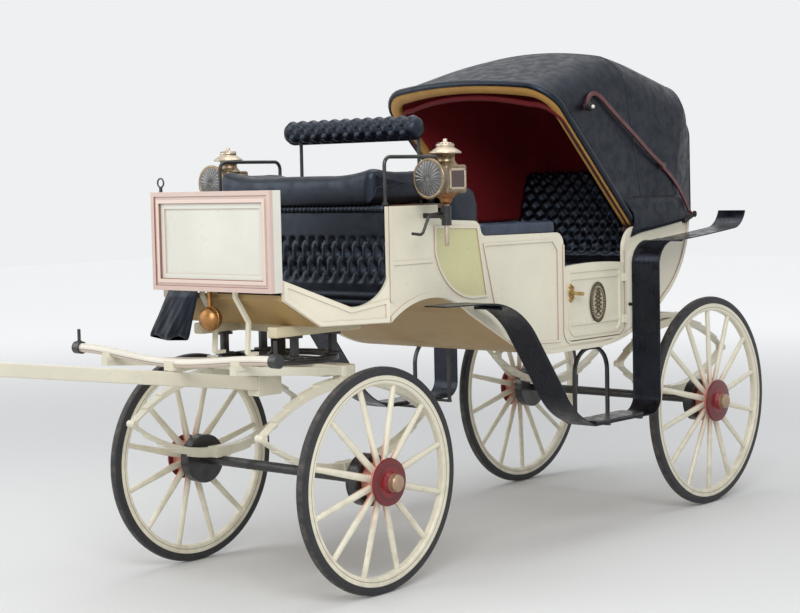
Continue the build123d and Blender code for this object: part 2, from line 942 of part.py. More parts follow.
# columns: first station, last station, bottom, top, half width, edge radius
cushion_table = [
    (box_front - 60, box_back_station - 34,
     seat_board_z + cushion_gap, seat_board_z + driver_cushion_height, 520, 40),
    (box_back_station + 186, bench_front_edge + 40,
     bench_z + cushion_gap, bench_z + bench_cushion, 560, 36),
    (bench_rear_edge - 30, 2500,
     bench_z + cushion_gap, bench_z + bench_cushion, 560, 36),
]
with BuildPart() as cushions:
    for first, last, bottom, top, x_half, edge in cushion_table:
        add(soft_block(first, last, bottom, top, x_half, edge))
write("cushions", cushions.part)

squab_half = 520
with BuildPart() as squabs:
    first, last = box_back_station + cushion_gap, box_back_station + 176
    add(soft_block(first, last, bench_z + 60, 1868, squab_half, 60))
    with BuildSketch(side_at(0)):
        with BuildLine():
            Polyline(
                (2510, bench_z + 40),
                (2560, bench_z + 20),
                (2700, 1400),
                (2760, 1650),
                (2760, 1910),
                (2700, 1950),
                (2620, 1900),
                (2540, 1600),
                close=True,
            )
        make_face()
        add(room_outline(seat_gap), mode=Mode.INTERSECT)
    extrude(amount=squab_half - 24, both=True)
write("squabs", squabs.part)

with BuildPart() as side_pads:
    with BuildSketch(front_at(door_front - 20)):
        with Locations((inner_half - 50, waist_z + 18)):
            RectangleRounded(100, 90, 34)
    extrude(amount=door_front - 20 - 850)
    mirror(about=Plane.YZ)
write("side_pads", side_pads.part)

with BuildPart() as driver_roll:
    with BuildSketch(side_at(0)):
        with Locations((roll_station, roll_z)):
            Circle(roll_r)
    extrude(amount=roll_half, both=True)
write("driver_roll", driver_roll.part)

# Iron rails at the driver's arms, the posts that carry the roll, and the rein ring on the dash
post_half = 400
ring_x = 30 - wing_front_half
with BuildPart() as rails:
    with BuildLine():
        FilletPolyline(
            (rail_half, front_axle_y + box_station + 30, seat_board_z + 2 + rail_r),
            (rail_half, front_axle_y + box_station + 30, rail_top_z),
            (rail_half, front_axle_y + box_back_station - 20, rail_top_z),
            (rail_half, front_axle_y + box_back_station - 20, seat_board_z + 2 + rail_r),
            radius=40,
        )
    with BuildSketch(plan_at(seat_board_z + 2 + rail_r)):
        with Locations((rail_half, box_station + 30)):
            Circle(rail_r)
    sweep()
    with BuildSketch(plan_at(seat_board_z + seat_gap)):
        with Locations(
            (rail_half, box_station + 30),
            (rail_half, box_back_station - 20),
            (post_half, box_back_station - 16),
        ):
            Circle(rail_r * 1.6)
    extrude(amount=rail_r + 3)
    with BuildSketch(plan_at(seat_board_z + 2)):
        with Locations((post_half, box_back_station - 16)):
            Circle(rail_r)
    extrude(amount=roll_z - roll_r * 0.5 - seat_board_z - 2)
    with BuildSketch(side_at(0)):
        with Locations((roll_station, roll_z)):
            Circle(roll_r + cushion_gap)
    extrude(amount=roll_half + 5, both=True, mode=Mode.SUBTRACT)
    mirror(about=Plane.YZ)
    with BuildSketch(plan_at(dash_top + seat_gap)):
        with Locations((ring_x, dash_station + 20)):
            Circle(8)
    extrude(amount=22)
    with Locations(
        Location((ring_x, front_axle_y + dash_station + 20, dash_top + 44), (90, 0, 0))
    ):
        Torus(21, 4)
write("rails", rails.part)


# Fenders: one sheet each side from over the front wheel, down to the step, up and over the rear
def fender_line():
    """Side view of a fender's underside, from its front tip to the upturned rear tip."""
    over_front, over_rear = 1302, 1540
    upright = 2126
    lip_station, lip_z, lip_rise = fender_rear - 115, over_rear + 52, 98
    Line((300, over_front + 8), (640, over_front))
    ThreePointArc((640, over_front), (840, 1252), (985, 1140))
    Line((985, 1140), (1235, 812))
    ThreePointArc((1235, 812), (1330, 705), (1430, step_z + 34))
    Polyline((1430, step_z + 34), (1500, step_z), (upright - 96, step_z))
    ThreePointArc((upright - 96, step_z), (upright - 26, step_z + 28), (upright, step_z + 96))
    Line((upright, step_z + 96), (upright, over_rear - 110))
    ThreePointArc(
        (upright, over_rear - 110), (upright + 46, over_rear - 30), (upright + 164, over_rear)
    )
    ThreePointArc((upright + 164, over_rear), (2620, over_rear + 24), (lip_station, lip_z))
    ThreePointArc(
        (lip_station, lip_z), (lip_station + 72, lip_z + 34), (fender_rear, lip_z + lip_rise)
    )


stay_r = 9
# columns: station and height of a stay that ties the fender to the side
stay_table = [(770, 1274), (2131, 1200), (2420, 1543)]
tip_r = 60
with BuildPart() as fenders:
    with BuildSketch(side_at(fender_inner)):
        with BuildLine():
            fender_line()
            offset(amount=fender_thickness, side=Side.LEFT, kind=Kind.INTERSECTION)
        make_face()
    extrude(amount=fender_width)
    with BuildSketch(plan_at(0)):
        with BuildLine():
            Polyline(
                (fender_inner, 520),
                (fender_outer - 2 * tip_r, 260),
                (fender_outer, 260),
                (fender_outer, fender_rear + 50),
                (fender_inner, fender_rear + 50),
                close=True,
            )
        make_face()
        fillet(vertices().group_by(Axis.Y)[-1], tip_r)
    extrude(amount=2 * box_top, mode=Mode.INTERSECT)
    with BuildSketch(side_at(half_width + seat_gap)):
        with Locations(*stay_table):
            Circle(stay_r)
    extrude(amount=fender_outer - half_width - 40)
    mirror(about=Plane.YZ)
write("fenders", fenders.part)

# Step treads on the fenders' low stretch
with BuildPart() as steps:
    with BuildSketch(plan_at(step_z + fender_thickness + seat_gap)):
        with Locations(((fender_inner + fender_outer) / 2, step_station)):
            RectangleRounded(fender_width - 24, step_length, 24)
    extrude(amount=step_thickness)
    mirror(about=Plane.YZ)
write("steps", steps.part)

# Lamps
stem_r = 14
with BuildPart() as lamp:
    with BuildSketch(plan_at(lens_z - 74)):
        with Locations((0, lamp_station + 14)):
            Rectangle(116, 170)
        fillet(vertices(), 22)
    extrude(amount=158)
    with BuildSketch(front_at(lamp_station - 60)):
        with Locations((0, lens_z)):
            Circle(lens_r)
    extrude(amount=lamp_station - 60 - lens_station)
    for x in (58, -58):
        with BuildSketch(side_at(x)):
            with Locations((lamp_station + 30, lens_z + 4)):
                Rectangle(74, 112)
        extrude(amount=5, both=True, mode=Mode.SUBTRACT)
    with BuildSketch(side_at(0)):
        with BuildLine():
            Polyline(
                (lamp_station, lens_z + 60),
                (lamp_station + 50, lens_z + 60),
                (lamp_station + 44, brim_z - 8),
                (lamp_station + brim_r, brim_z - 8),
                (lamp_station + brim_r, brim_z - 2),
                (lamp_station + 48, brim_z + 16),
                (lamp_station + 40, brim_z + 44),
                (lamp_station + 14, brim_z + 62),
                (lamp_station + 9, brim_z + 84),
                (lamp_station + 5, brim_z + 88),
                (lamp_station, brim_z + 88),
                close=True,
            )
        make_face()
    revolve(axis=Axis((0, front_axle_y + lamp_station, 0), (0, 0, 1)))
    with BuildSketch(side_at(0)):
        with BuildLine():
            Polyline(
                (lamp_station, lens_z - 60),
                (lamp_station + 50, lens_z - 70),
                (lamp_station + 26, lens_z - 104),
                (lamp_station + stem_r, socket_z + 50),
                (lamp_station + stem_r, socket_z - 52),
                (lamp_station + 9, stem_z),
                (lamp_station, stem_z),
                close=True,
            )
        make_face()
    revolve(axis=Axis((0, front_axle_y + lamp_station, 0), (0, 0, 1)))
with BuildPart() as lamps:
    with Locations((lamp_x, 0, 0), (-lamp_x, 0, 0)):
        add(lamp.part)
write("lamps", lamps.part)

with BuildPart() as lamp_lenses:
    with BuildSketch(front_at(lens_station - seat_gap)):
        with Locations((lamp_x, lens_z)):
            Circle(lens_r - 6)
    extrude(amount=7, taper=30)
    mirror(about=Plane.YZ)
write("lamp_lenses", lamp_lenses.part)

# Irons on the body: lamp sockets with their hooks, step loops, dash stays and the hood's pins
socket_wall_r = 24
loop_x = 560
loop_width = 14
loop_low = step_z - seat_gap - loop_width / 2
loop_high = cabin_floor_z - seat_gap - loop_width / 2
loop_stations = (1660, 1965)
hook_y = front_axle_y + lamp_station
stay_x = 100
with BuildPart() as body_irons:
    with BuildSketch(plan_at(socket_z - 46)):
        with Locations((lamp_x, lamp_station)):
            Circle(socket_wall_r)
            Circle(stem_r + seat_gap, mode=Mode.SUBTRACT)
    extrude(amount=92)
    with BuildSketch(front_at(lamp_station + 10)):
        with Locations(((half_width + seat_gap + lamp_x - socket_wall_r + 3) / 2, socket_z)):
            Rectangle(lamp_x - socket_wall_r + 3 - half_width - seat_gap, 24)
    extrude(amount=20)
    with BuildLine():
        hook = FilletPolyline(
            (lamp_x - 20, hook_y - 20, socket_z + 12),
            (lamp_x - 30, hook_y - 90, socket_z + 6),
            (lamp_x - 40, hook_y - 130, socket_z - 86),
            (lamp_x - 50, hook_y - 190, socket_z - 78),
            radius=24,
        )
    with BuildSketch(Plane(origin=hook @ 0, z_dir=hook % 0)):
        Circle(7)
    sweep(path=hook)
    with BuildSketch(side_at(loop_x)):
        with BuildLine():
            FilletPolyline(
                (loop_stations[0], loop_low),
                (loop_stations[0], loop_high),
                (loop_stations[1], loop_high),
                (loop_stations[1], loop_low),
                radius=130,
            )
        trace(line_width=loop_width)
    extrude(amount=10, both=True)
    for station in loop_stations:
        with BuildSketch(front_at(station + 10)):
            with Locations(((loop_x + fender_outer) / 2 - 15, loop_low)):
                Rectangle(fender_outer - loop_x - 10, loop_width)
        extrude(amount=20)
    with BuildSketch(side_at(stay_x)):
        with BuildLine():
            FilletPolyline(
                (ring_width - ring_r, upper_ring_bottom + ring_thickness + 30),
                (-ring_r - 22, upper_ring_bottom + ring_thickness + 30),
                (-ring_r - 10, 1262),
                (dash_station + 30, 1384),
                (dash_station + 30, dash_bottom - seat_gap),
                radius=10,
            )
        trace(line_width=16)
    extrude(amount=22)
    with BuildSketch(side_at(half_width - side_thickness - seat_gap)):
        with Locations((pivot_station, pivot_z)):
            Circle(pivot_pin_r)
    extrude(amount=-(3 * bow_pitch + 6))
    with BuildSketch(side_at(half_width - side_thickness - seat_gap - 3)):
        with Locations((pivot_station, pivot_z)):
            Circle(18)
    extrude(amount=3)
    with BuildSketch(side_at(half_width + bead_proud + 2 * seat_gap)):
        with BuildLine():
            Line((tail_station - 60, 1640), (iron_anchor_station, iron_anchor_z))
        trace(line_width=iron_width)
        with Locations((iron_anchor_station, iron_anchor_z)):
            Circle(iron_eye_r)
    extrude(amount=iron_thickness)
    with BuildSketch(side_at(iron_x - seat_gap)):
        with Locations((iron_anchor_station, iron_anchor_z)):
            Circle(iron_pin_r)
    extrude(amount=half_width + bead_proud + 2 * seat_gap - iron_x + iron_thickness)
    with BuildSketch(side_at(half_width + seat_gap)):
        with Locations((tail_station - 60, 1640)):
            Circle(iron_width / 2)
    extrude(amount=bead_proud + 2 * seat_gap)
    mirror(about=Plane.YZ)
write("body_irons", body_irons.part)

# Gong under the dash, and the leather apron beside it
gong_z = 1300
gong_r = 66
gong_x = -20
rim_station = dash_station - 30
with BuildPart() as gong:
    with BuildSketch(side_at(gong_x)):
        with BuildLine():
            ThreePointArc(
                (rim_station, gong_z + gong_r),
                (rim_station + 40, gong_z + gong_r * 0.78),
                (rim_station + 58, gong_z + 16),
            )
            ThreePointArc(
                (rim_station, gong_z + gong_r - 6),
                (rim_station + 35, gong_z + gong_r * 0.7),
                (rim_station + 51, gong_z + 16),
            )
            Line((rim_station, gong_z + gong_r), (rim_station, gong_z + gong_r - 6))
            Polyline(
                (rim_station + 58, gong_z + 16),
                (rim_station + 58, gong_z),
                (rim_station + 51, gong_z),
                (rim_station + 51, gong_z + 16),
            )
        make_face()
    revolve(axis=Axis((gong_x, 0, gong_z), (0, 1, 0)))
    with BuildSketch(plan_at(gong_z)):
        with Locations((gong_x, rim_station + 66)):
            Rectangle(20, 16)
    extrude(amount=dash_bottom - seat_gap - gong_z)
write("gong", gong.part)

with BuildPart() as apron:
    with BuildSketch(front_at(dash_station + 6)):
        with BuildLine():
            Polyline(
                (-300, dash_bottom - seat_gap),
                (-120, dash_bottom - seat_gap),
                (-140, 1230),
                (-190, 1212),
                (-340, 1222),
                (-350, 1250),
                close=True,
            )
        make_face()
    extrude(amount=46)
write("apron", apron.part)

# Rear hangers: an iron from under the body to the top of each rear spring, and a cross bar
hanger_z = rear_spring_top + seat_gap
with BuildPart() as rear_hangers:
    with BuildSketch(side_at(spring_half_track - 22)):
        with BuildLine():
            Polyline(
                (2130, 1060),
                (2230, 1100),
                (2420, 1200),
                (2560, 1300),
                (2590, 1230),
                (2590, hanger_z + 24),
                (wheelbase + 90, hanger_z + 24),
                (wheelbase + 90, hanger_z),
                (2540, hanger_z),
                (2410, 1120),
                (2200, 1020),
                (2130, 1000),
                close=True,
            )
        make_face()
        add(room_outline(-floor_thickness - seat_gap), mode=Mode.SUBTRACT)
    extrude(amount=44)
    mirror(about=Plane.YZ)
    with BuildSketch(side_at(0)):
        with Locations((wheelbase, hanger_z + 14)):
            Circle(14)
    extrude(amount=spring_half_track, both=True)
write("rear_hangers", rear_hangers.part)


# Hood
def bow_plane(top_station, top_z):
    """Plane of a bow through the pivot line: local y runs from the pivot to the bow's top."""
    along = Vector(0, top_station - pivot_station, top_z - pivot_z)
    reach = along.length
    across = Vector(1, 0, 0)
    return (
        Plane(
            origin=(0, front_axle_y + pivot_station, pivot_z),
            x_dir=across,
            z_dir=across.cross(along.normalized()),
        ),
        reach,
    )


def arch(x_half, foot, reach, corner_r, crown):
    """Closed outline of a hood bow's arch, from its foot line to its crown."""
    shoulder = reach - crown
    diagonal = corner_r * (1 - sqrt(0.5))
    with BuildSketch() as outline:
        with BuildLine():
            Line((x_half, foot), (x_half, shoulder - corner_r))
            ThreePointArc(
                (x_half, shoulder - corner_r),
                (x_half - diagonal, shoulder - diagonal),
                (x_half - corner_r, shoulder),
            )
            ThreePointArc((x_half - corner_r, shoulder), (0, reach), (corner_r - x_half, shoulder))
            ThreePointArc(
                (corner_r - x_half, shoulder),
                (diagonal - x_half, shoulder - diagonal),
                (-x_half, shoulder - corner_r),
            )
            Polyline((-x_half, shoulder - corner_r), (-x_half, foot), (x_half, foot))
        make_face()
    return outline.sketch


def knob_prop(inner, reach, plane):
    """Arms from the front bow's legs to the pins of the irons, with a round knob on each pin."""
    base = plane.to_local_coords(Vector(0, front_axle_y + knob_station, knob_z)).Y
    foot_station = pivot_station + base * (plane.y_dir.Y)
    foot_z = pivot_z + base * (plane.y_dir.Z)
    with BuildPart() as prop:
        with BuildSketch(side_at(inner)):
            with BuildLine():
                Line((foot_station, foot_z), (knob_station, knob_z))
            trace(line_width=iron_width)
            with Locations((knob_station, knob_z)):
                Circle(iron_eye_r)
        extrude(amount=bow_thickness - 3)
        with BuildSketch(side_at(inner)):
            with Locations((knob_station, knob_z)):
                Circle(iron_pin_r)
        extrude(amount=iron_x + iron_pitch + iron_thickness + 6 - inner)
        with BuildSketch(side_at(iron_x + iron_pitch + iron_thickness + 3)):
            with Locations((knob_station, knob_z)):
                Circle(knob_r)
        extrude(amount=knob_length)
        fillet(prop.faces().sort_by(Axis.X)[-1].edges(), knob_r / 3)
        mirror(about=Plane.YZ)
    return prop.part


# columns: name, station and height of its top, steps in from the leather
bow_table = [
    ("hood_bow_front", 1440, 2352, 0),
    ("hood_bow_middle", 2110, 2590, 1),
    ("hood_bow_rear", 2790, 2440, 2),
]
foot_r = 26
knob_r = 22
knob_length = 34
for name, top_station, top_z, step in bow_table:
    plane, reach = bow_plane(top_station, top_z)
    x_half = hood_half - leather - 4 - step * bow_pitch
    with BuildPart() as bow:
        with BuildSketch(plane):
            add(arch(x_half, 0, reach - leather - 6, hood_corner_r, hood_crown))
            offset(amount=-bow_thickness, mode=Mode.SUBTRACT)
            with Locations((0, (reach - hood_crown - hood_corner_r) / 2)):
                Rectangle(
                    2 * (x_half - bow_thickness),
                    reach - hood_crown - hood_corner_r,
                    mode=Mode.SUBTRACT,
                )
        extrude(amount=bow_depth / 2, both=True)
        for side in (1, -1):
            inner = -x_half if side < 0 else x_half - bow_thickness
            with BuildSketch(side_at(inner)):
                with Locations((pivot_station, pivot_z)):
                    Circle(foot_r)
                    Circle(pivot_pin_r + running_gap, mode=Mode.SUBTRACT)
            extrude(amount=bow_thickness)
        with BuildSketch(side_at(0)):
            with Locations((pivot_station, pivot_z)):
                Circle(pivot_pin_r + running_gap)
        extrude(amount=hood_half, both=True, mode=Mode.SUBTRACT)
        if name == "hood_bow_front":
            add(knob_prop(x_half - bow_thickness, reach, plane))
    write(name, bow.part)

# Leather of the hood, stretched over the bows and open to the front and below
# columns: station and height of the foot, station and height of the top, narrowing, corner radius
leather_table = [
    (2212, 1648, 1440, 2360, 0, hood_corner_r),
    (2330, 1648, 2110, 2600, 0, hood_corner_r),
    (2600, 1656, 2790, 2452, 0, hood_corner_r),
    (2890, 1690, 2880, 2340, 46, hood_corner_r),
]


def leather_loft(inset, stretch):
    """Solid through the hood's arches, made smaller by inset and longer by stretch at its front."""
    last = len(leather_table) - 1
    sections = []
    for number, row in enumerate(leather_table):
        foot_station, foot_z, top_station, top_z, narrow, corner_r = row
        along = Vector(0, top_station - foot_station, top_z - foot_z)
        shift = 0
        if number == 0:
            shift = -stretch
        if number == last:
            shift = -inset
        across = Vector(1, 0, 0)
        plane = Plane(
            origin=(0, front_axle_y + foot_station + shift, foot_z),
            x_dir=across,
            z_dir=across.cross(along.normalized()),
        )
        foot = -2 * stretch if inset else 0
        with BuildSketch(plane) as section:
            x_half, reach = hood_half - narrow - inset, along.length - inset
            add(arch(x_half, foot, reach, corner_r - inset, hood_crown))
        sections.append(section.sketch)
    with BuildPart() as solid:
        loft(sections, ruled=True)
    return solid.part


with BuildPart() as hood_leather:
    add(leather_loft(0, 0))
    add(leather_loft(leather, 8), mode=Mode.SUBTRACT)
    with BuildSketch(side_at(0)):
        with Locations((knob_station, knob_z)):
            Circle(iron_pin_r + 1)
    extrude(amount=half_width, both=True, mode=Mode.SUBTRACT)
write("hood_leather", hood_leather.part)


# Landau irons: a front link from the knob and a rear link to the body, jointed at the knuckle
def make_link(stops, x, bored):
    """Flat iron link along its stops, each given as station and height, bored at one of them."""
    with BuildPart() as link:
        with BuildSketch(side_at(x)):
            with BuildLine():
                Spline(*stops)
            trace(line_width=iron_width)
            with Locations(stops[0], stops[-1]):
                Circle(iron_eye_r)
            with Locations(bored):
                Circle(iron_pin_r + running_gap, mode=Mode.SUBTRACT)
        extrude(amount=iron_thickness)
        mirror(about=Plane.YZ)
    return link.part


knob_pin = (knob_station, knob_z)
knuckle_pin = (knuckle_station, knuckle_z)
anchor_pin = (iron_anchor_station, iron_anchor_z)
front_link_line = [knob_pin, (1806, 2345), (1950, 2284), (2197, 2133), knuckle_pin]
rear_link_line = [knuckle_pin, (2668, 1840), anchor_pin]
write("hood_iron_front", make_link(front_link_line, iron_x + iron_pitch, knob_pin))
write("hood_iron_rear", make_link(rear_link_line, iron_x, anchor_pin))
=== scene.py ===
"""Looks of the horse drawn carriage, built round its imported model. Metres, in the row frame."""
import json
from math import atan2, copysign, cos, exp, hypot, pi, radians, sin, sqrt

import bmesh
import bpy
from mathutils import Matrix, Vector
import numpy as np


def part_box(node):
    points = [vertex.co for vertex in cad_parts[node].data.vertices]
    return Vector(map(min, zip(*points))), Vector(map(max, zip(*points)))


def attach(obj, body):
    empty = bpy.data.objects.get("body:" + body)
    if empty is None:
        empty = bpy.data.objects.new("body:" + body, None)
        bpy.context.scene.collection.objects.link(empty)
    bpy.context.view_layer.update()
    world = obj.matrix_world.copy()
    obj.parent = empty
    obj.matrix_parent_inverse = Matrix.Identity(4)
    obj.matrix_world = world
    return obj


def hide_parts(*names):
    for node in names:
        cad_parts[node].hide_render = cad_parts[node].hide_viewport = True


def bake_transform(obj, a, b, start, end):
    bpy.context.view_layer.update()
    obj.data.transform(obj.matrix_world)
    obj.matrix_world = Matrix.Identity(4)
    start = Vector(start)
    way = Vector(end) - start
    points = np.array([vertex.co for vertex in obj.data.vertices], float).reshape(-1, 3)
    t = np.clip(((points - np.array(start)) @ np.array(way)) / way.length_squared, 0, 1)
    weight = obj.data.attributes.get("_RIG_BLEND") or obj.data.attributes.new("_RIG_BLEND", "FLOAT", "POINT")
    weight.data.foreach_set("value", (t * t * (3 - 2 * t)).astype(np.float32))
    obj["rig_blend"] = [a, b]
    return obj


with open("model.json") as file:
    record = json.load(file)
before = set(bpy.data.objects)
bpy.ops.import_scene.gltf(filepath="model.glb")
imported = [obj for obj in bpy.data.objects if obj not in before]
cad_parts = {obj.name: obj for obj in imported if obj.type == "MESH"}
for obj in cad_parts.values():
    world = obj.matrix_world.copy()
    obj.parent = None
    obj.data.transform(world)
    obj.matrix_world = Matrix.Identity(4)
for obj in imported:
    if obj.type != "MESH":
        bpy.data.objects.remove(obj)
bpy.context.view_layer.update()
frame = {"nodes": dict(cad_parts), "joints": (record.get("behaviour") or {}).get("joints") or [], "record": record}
nodes = frame["nodes"]
joints = {j["name"]: j for j in frame["joints"]}
ratios = {c["joint"]: c["ratio"] for c in frame["record"]["behaviour"].get("couplings", [])}
axle_y = joints["steering"]["pos_m"][1]
BODY = "carriage_body"
SIDES = (1, -1)


def at(station):
    """Y of a place that lies this far behind the front axle."""
    return axle_y + station


def circle(count):
    """Angles of count points evenly spaced round a circle."""
    return [2 * pi * n / count for n in range(count)]


def linked(name, data):
    """A new object of the scene that shows this data."""
    item = bpy.data.objects.new(name, data)
    bpy.context.scene.collection.objects.link(item)
    return item


# Camera: the photograph's viewpoint
AZIMUTH, PITCH, ROLL = (radians(a) for a in (41.1, 4.08, -1.22))
EYE = Vector((5.93, at(-5.90), 1.895))
FOCAL_PIXELS = 1740
IMAGE_WIDTH = 800
SENSOR_WIDTH = 36


def make_camera():
    data = bpy.data.cameras.new("camera")
    data.sensor_width = SENSOR_WIDTH
    data.lens = FOCAL_PIXELS / IMAGE_WIDTH * SENSOR_WIDTH
    camera = linked("camera", data)
    sin_a, cos_a, sin_e, cos_e = sin(AZIMUTH), cos(AZIMUTH), sin(PITCH), cos(PITCH)
    forward = Vector((-sin_a * cos_e, cos_a * cos_e, -sin_e))
    right = Vector((cos_a, sin_a, 0))
    up = right.cross(forward)
    turned_right = right * cos(ROLL) + up * sin(ROLL)
    turned_up = up * cos(ROLL) - right * sin(ROLL)
    turn = Matrix((turned_right, turned_up, -forward)).transposed()
    camera.matrix_world = Matrix.Translation(EYE) @ turn.to_4x4()
    bpy.context.scene.camera = camera


# Materials
def rgb(red, green, blue):
    """A colour as seen on screen, 0 to 255, in the linear values that shaders take."""
    return (*(((c / 255 + 0.055) / 1.055) ** 2.4 if c > 10 else c / 255 / 12.92 for c in (red, green, blue)), 1)


def scaled(colour, factor):
    return (*(min(c * factor, 1) for c in colour[:3]), 1)


class Surface:
    """A material with short calls for the textures that it is made of."""

    def __init__(self, name, roughness=0.5, **sockets):
        self.material = bpy.data.materials.new(name)
        self.material.use_nodes = True
        self.tree = self.material.node_tree
        self.shader = self.tree.nodes["Principled BSDF"]
        self.shader.inputs["Roughness"].default_value = roughness
        for socket, value in sockets.items():
            title = socket.replace("_", " ").title().replace("Ior", "IOR")
            self.shader.inputs[title].default_value = value
        coordinates = self.add("ShaderNodeTexCoord")
        self.place, self.normal = coordinates.outputs["Object"], coordinates.outputs["Normal"]

    def add(self, kind, **settings):
        node = self.tree.nodes.new(kind)
        for key, value in settings.items():
            setattr(node, key, value)
        return node

    def put(self, socket, value):
        if hasattr(value, "is_output"):
            self.tree.links.new(value, socket)
        else:
            socket.default_value = value

    def math(self, operation, a, b=0.0):
        node = self.add("ShaderNodeMath", operation=operation)
        for socket, value in zip(node.inputs, (a, b)):
            self.put(socket, value)
        return node.outputs[0]

    def times(self, a, b):
        return self.math("MULTIPLY", a, b)

    def plus(self, a, b):
        return self.math("ADD", a, b)

    def minus(self, a, b):
        return self.math("SUBTRACT", a, b)

    def axis(self, letter, source=None):
        node = self.add("ShaderNodeSeparateXYZ")
        self.put(node.inputs[0], source or self.place)
        return node.outputs[letter]

    def span(self, letter, source=None):
        """A coordinate without its sign."""
        return self.math("ABSOLUTE", self.axis(letter, source))

    def reach(self, centre):
        """Distance from the line along X through centre."""
        dy, dz = (self.minus(self.axis(letter), centre["XYZ".index(letter)]) for letter in "YZ")
        return self.math("SQRT", self.plus(self.times(dy, dy), self.times(dz, dz)))

    def texture(self, kind, scale, stretch=(1, 1, 1)):
        mapping = self.add("ShaderNodeMapping")
        mapping.inputs["Scale"].default_value = stretch
        self.put(mapping.inputs["Vector"], self.place)
        node = self.add(kind)
        self.put(node.inputs["Vector"], mapping.outputs[0])
        node.inputs["Scale"].default_value = scale
        return node

    def noise(self, scale, detail=3.0, roughness=0.55, stretch=(1, 1, 1)):
        node = self.texture("ShaderNodeTexNoise", scale, stretch)
        node.inputs["Detail"].default_value = detail
        node.inputs["Roughness"].default_value = roughness
        return node.outputs["Fac"]

    def cells(self, scale):
        return self.texture("ShaderNodeTexVoronoi", scale).outputs["Distance"]

    def ramp(self, value, low, high, to_low=0.0, to_high=1.0):
        node = self.add("ShaderNodeMapRange", interpolation_type="SMOOTHSTEP")
        for socket, number in zip(node.inputs, (value, low, high, to_low, to_high)):
            self.put(socket, number)
        return node.outputs[0]

    def spots(self, noise, low, high, to_low=0.0, to_high=1.0):
        """Patches of noise, which is given by its settings, with soft edges."""
        return self.ramp(self.noise(*noise), low, high, to_low, to_high)

    def band(self, value, low, high, blur=0.0006):
        """1 where value lies between low and high."""
        rise = self.ramp(value, low - blur, low + blur)
        fall = self.ramp(value, high - blur, high + blur, 1, 0)
        return self.times(rise, fall)

    def mix(self, factor, first, second):
        node = self.add("ShaderNodeMix", data_type="RGBA")
        self.put(node.inputs["Factor"], factor)
        self.put(node.inputs[6], first)
        self.put(node.inputs[7], second)
        return node.outputs[2]

    def colour(self, value):
        self.put(self.shader.inputs["Base Color"], value)

    def rough(self, low, high, scale):
        self.put(self.shader.inputs["Roughness"], self.spots((scale, 4), 0.3, 0.7, low, high))

    def relief(self, height, distance, strength=1.0, rounded=0.0):
        """Bumps, and edges shaded round where asked. Gives the finished material."""
        node = self.add("ShaderNodeBump")
        node.inputs["Distance"].default_value = distance
        node.inputs["Strength"].default_value = strength
        self.put(node.inputs["Height"], height)
        if rounded:
            edge = self.add("ShaderNodeBevel", samples=4)
            edge.inputs["Radius"].default_value = rounded
            self.put(node.inputs["Normal"], edge.outputs[0])
        self.put(self.shader.inputs["Normal"], node.outputs[0])
        return self.material


CREAM = rgb(230, 224, 202)
PALE_CREAM = rgb(224, 223, 211)
TAN = rgb(168, 137, 84)
PINK = rgb(216, 190, 178)
LINE_PINK = rgb(186, 152, 142)
LEAF_GREEN = rgb(211, 208, 154)
DUST = rgb(156, 142, 120)
JAPAN_BLACK = rgb(20, 20, 23)
BOW_BROWN = rgb(60, 30, 28)
COOL_SHINE = (0.62, 0.76, 1.0, 1)
PATENT_SHINE = (0.66, 0.76, 1.0, 1)


def weathered(surface, base, dust_top=0.75, dust_most=0.30):
    """Paint colour with faint patches, dust thickest near the ground and small dark chips."""
    if not hasattr(base, "is_output"):
        base = surface.mix(surface.spots((2.6, 4), 0.35, 0.7), scaled(base, 0.94), scaled(base, 1.03))
    low = surface.ramp(surface.axis("Z"), 0.0, dust_top, dust_most, 0.03)
    dirt = surface.times(low, surface.spots((14, 5, 0.65), 0.35, 0.75))
    chips = surface.spots((55, 3, 0.7), 0.73, 0.78)
    return surface.mix(surface.times(chips, 0.55), surface.mix(dirt, base, DUST), rgb(120, 88, 66))


def paint(name, base, coat=0.35, **dust):
    surface = Surface(name, 0.32, coat_weight=coat, coat_roughness=0.18)
    surface.colour(weathered(surface, base, **dust))
    surface.rough(0.26, 0.48, 9)
    return surface.relief(surface.noise(120, 2), 0.00025, 0.5, 0.0012)


TYRE_DEPTH = 0.040


def wheel_paint(name, centre, radius):
    """Cream wood with a fine line round the felloe, and a painted reddish shade on the spokes' sides near the nave."""
    surface = Surface(name, 0.35, coat_weight=0.3, coat_roughness=0.2)
    reach = surface.reach(centre)
    felloe = radius - TYRE_DEPTH
    line = surface.band(reach, felloe - 0.024, felloe - 0.0205)
    lined = surface.mix(surface.times(line, 0.8), weathered(surface, CREAM, 1.2, 0.42), rgb(110, 92, 76))
    # painted shade: reddish pink on the spokes' sides, fading out from the nave
    foot = surface.ramp(reach, 0.09, 0.26, 0.85, 0)
    sides = surface.ramp(surface.span("X", surface.normal), 0.35, 0.8, 1, 0)
    surface.colour(surface.mix(surface.times(foot, sides), lined, rgb(196, 108, 90)))
    surface.rough(0.3, 0.55, 12)
    return surface.relief(surface.noise(60, 4, 0.6, (1, 1, 0.3)), 0.0004, 0.5, 0.0015)


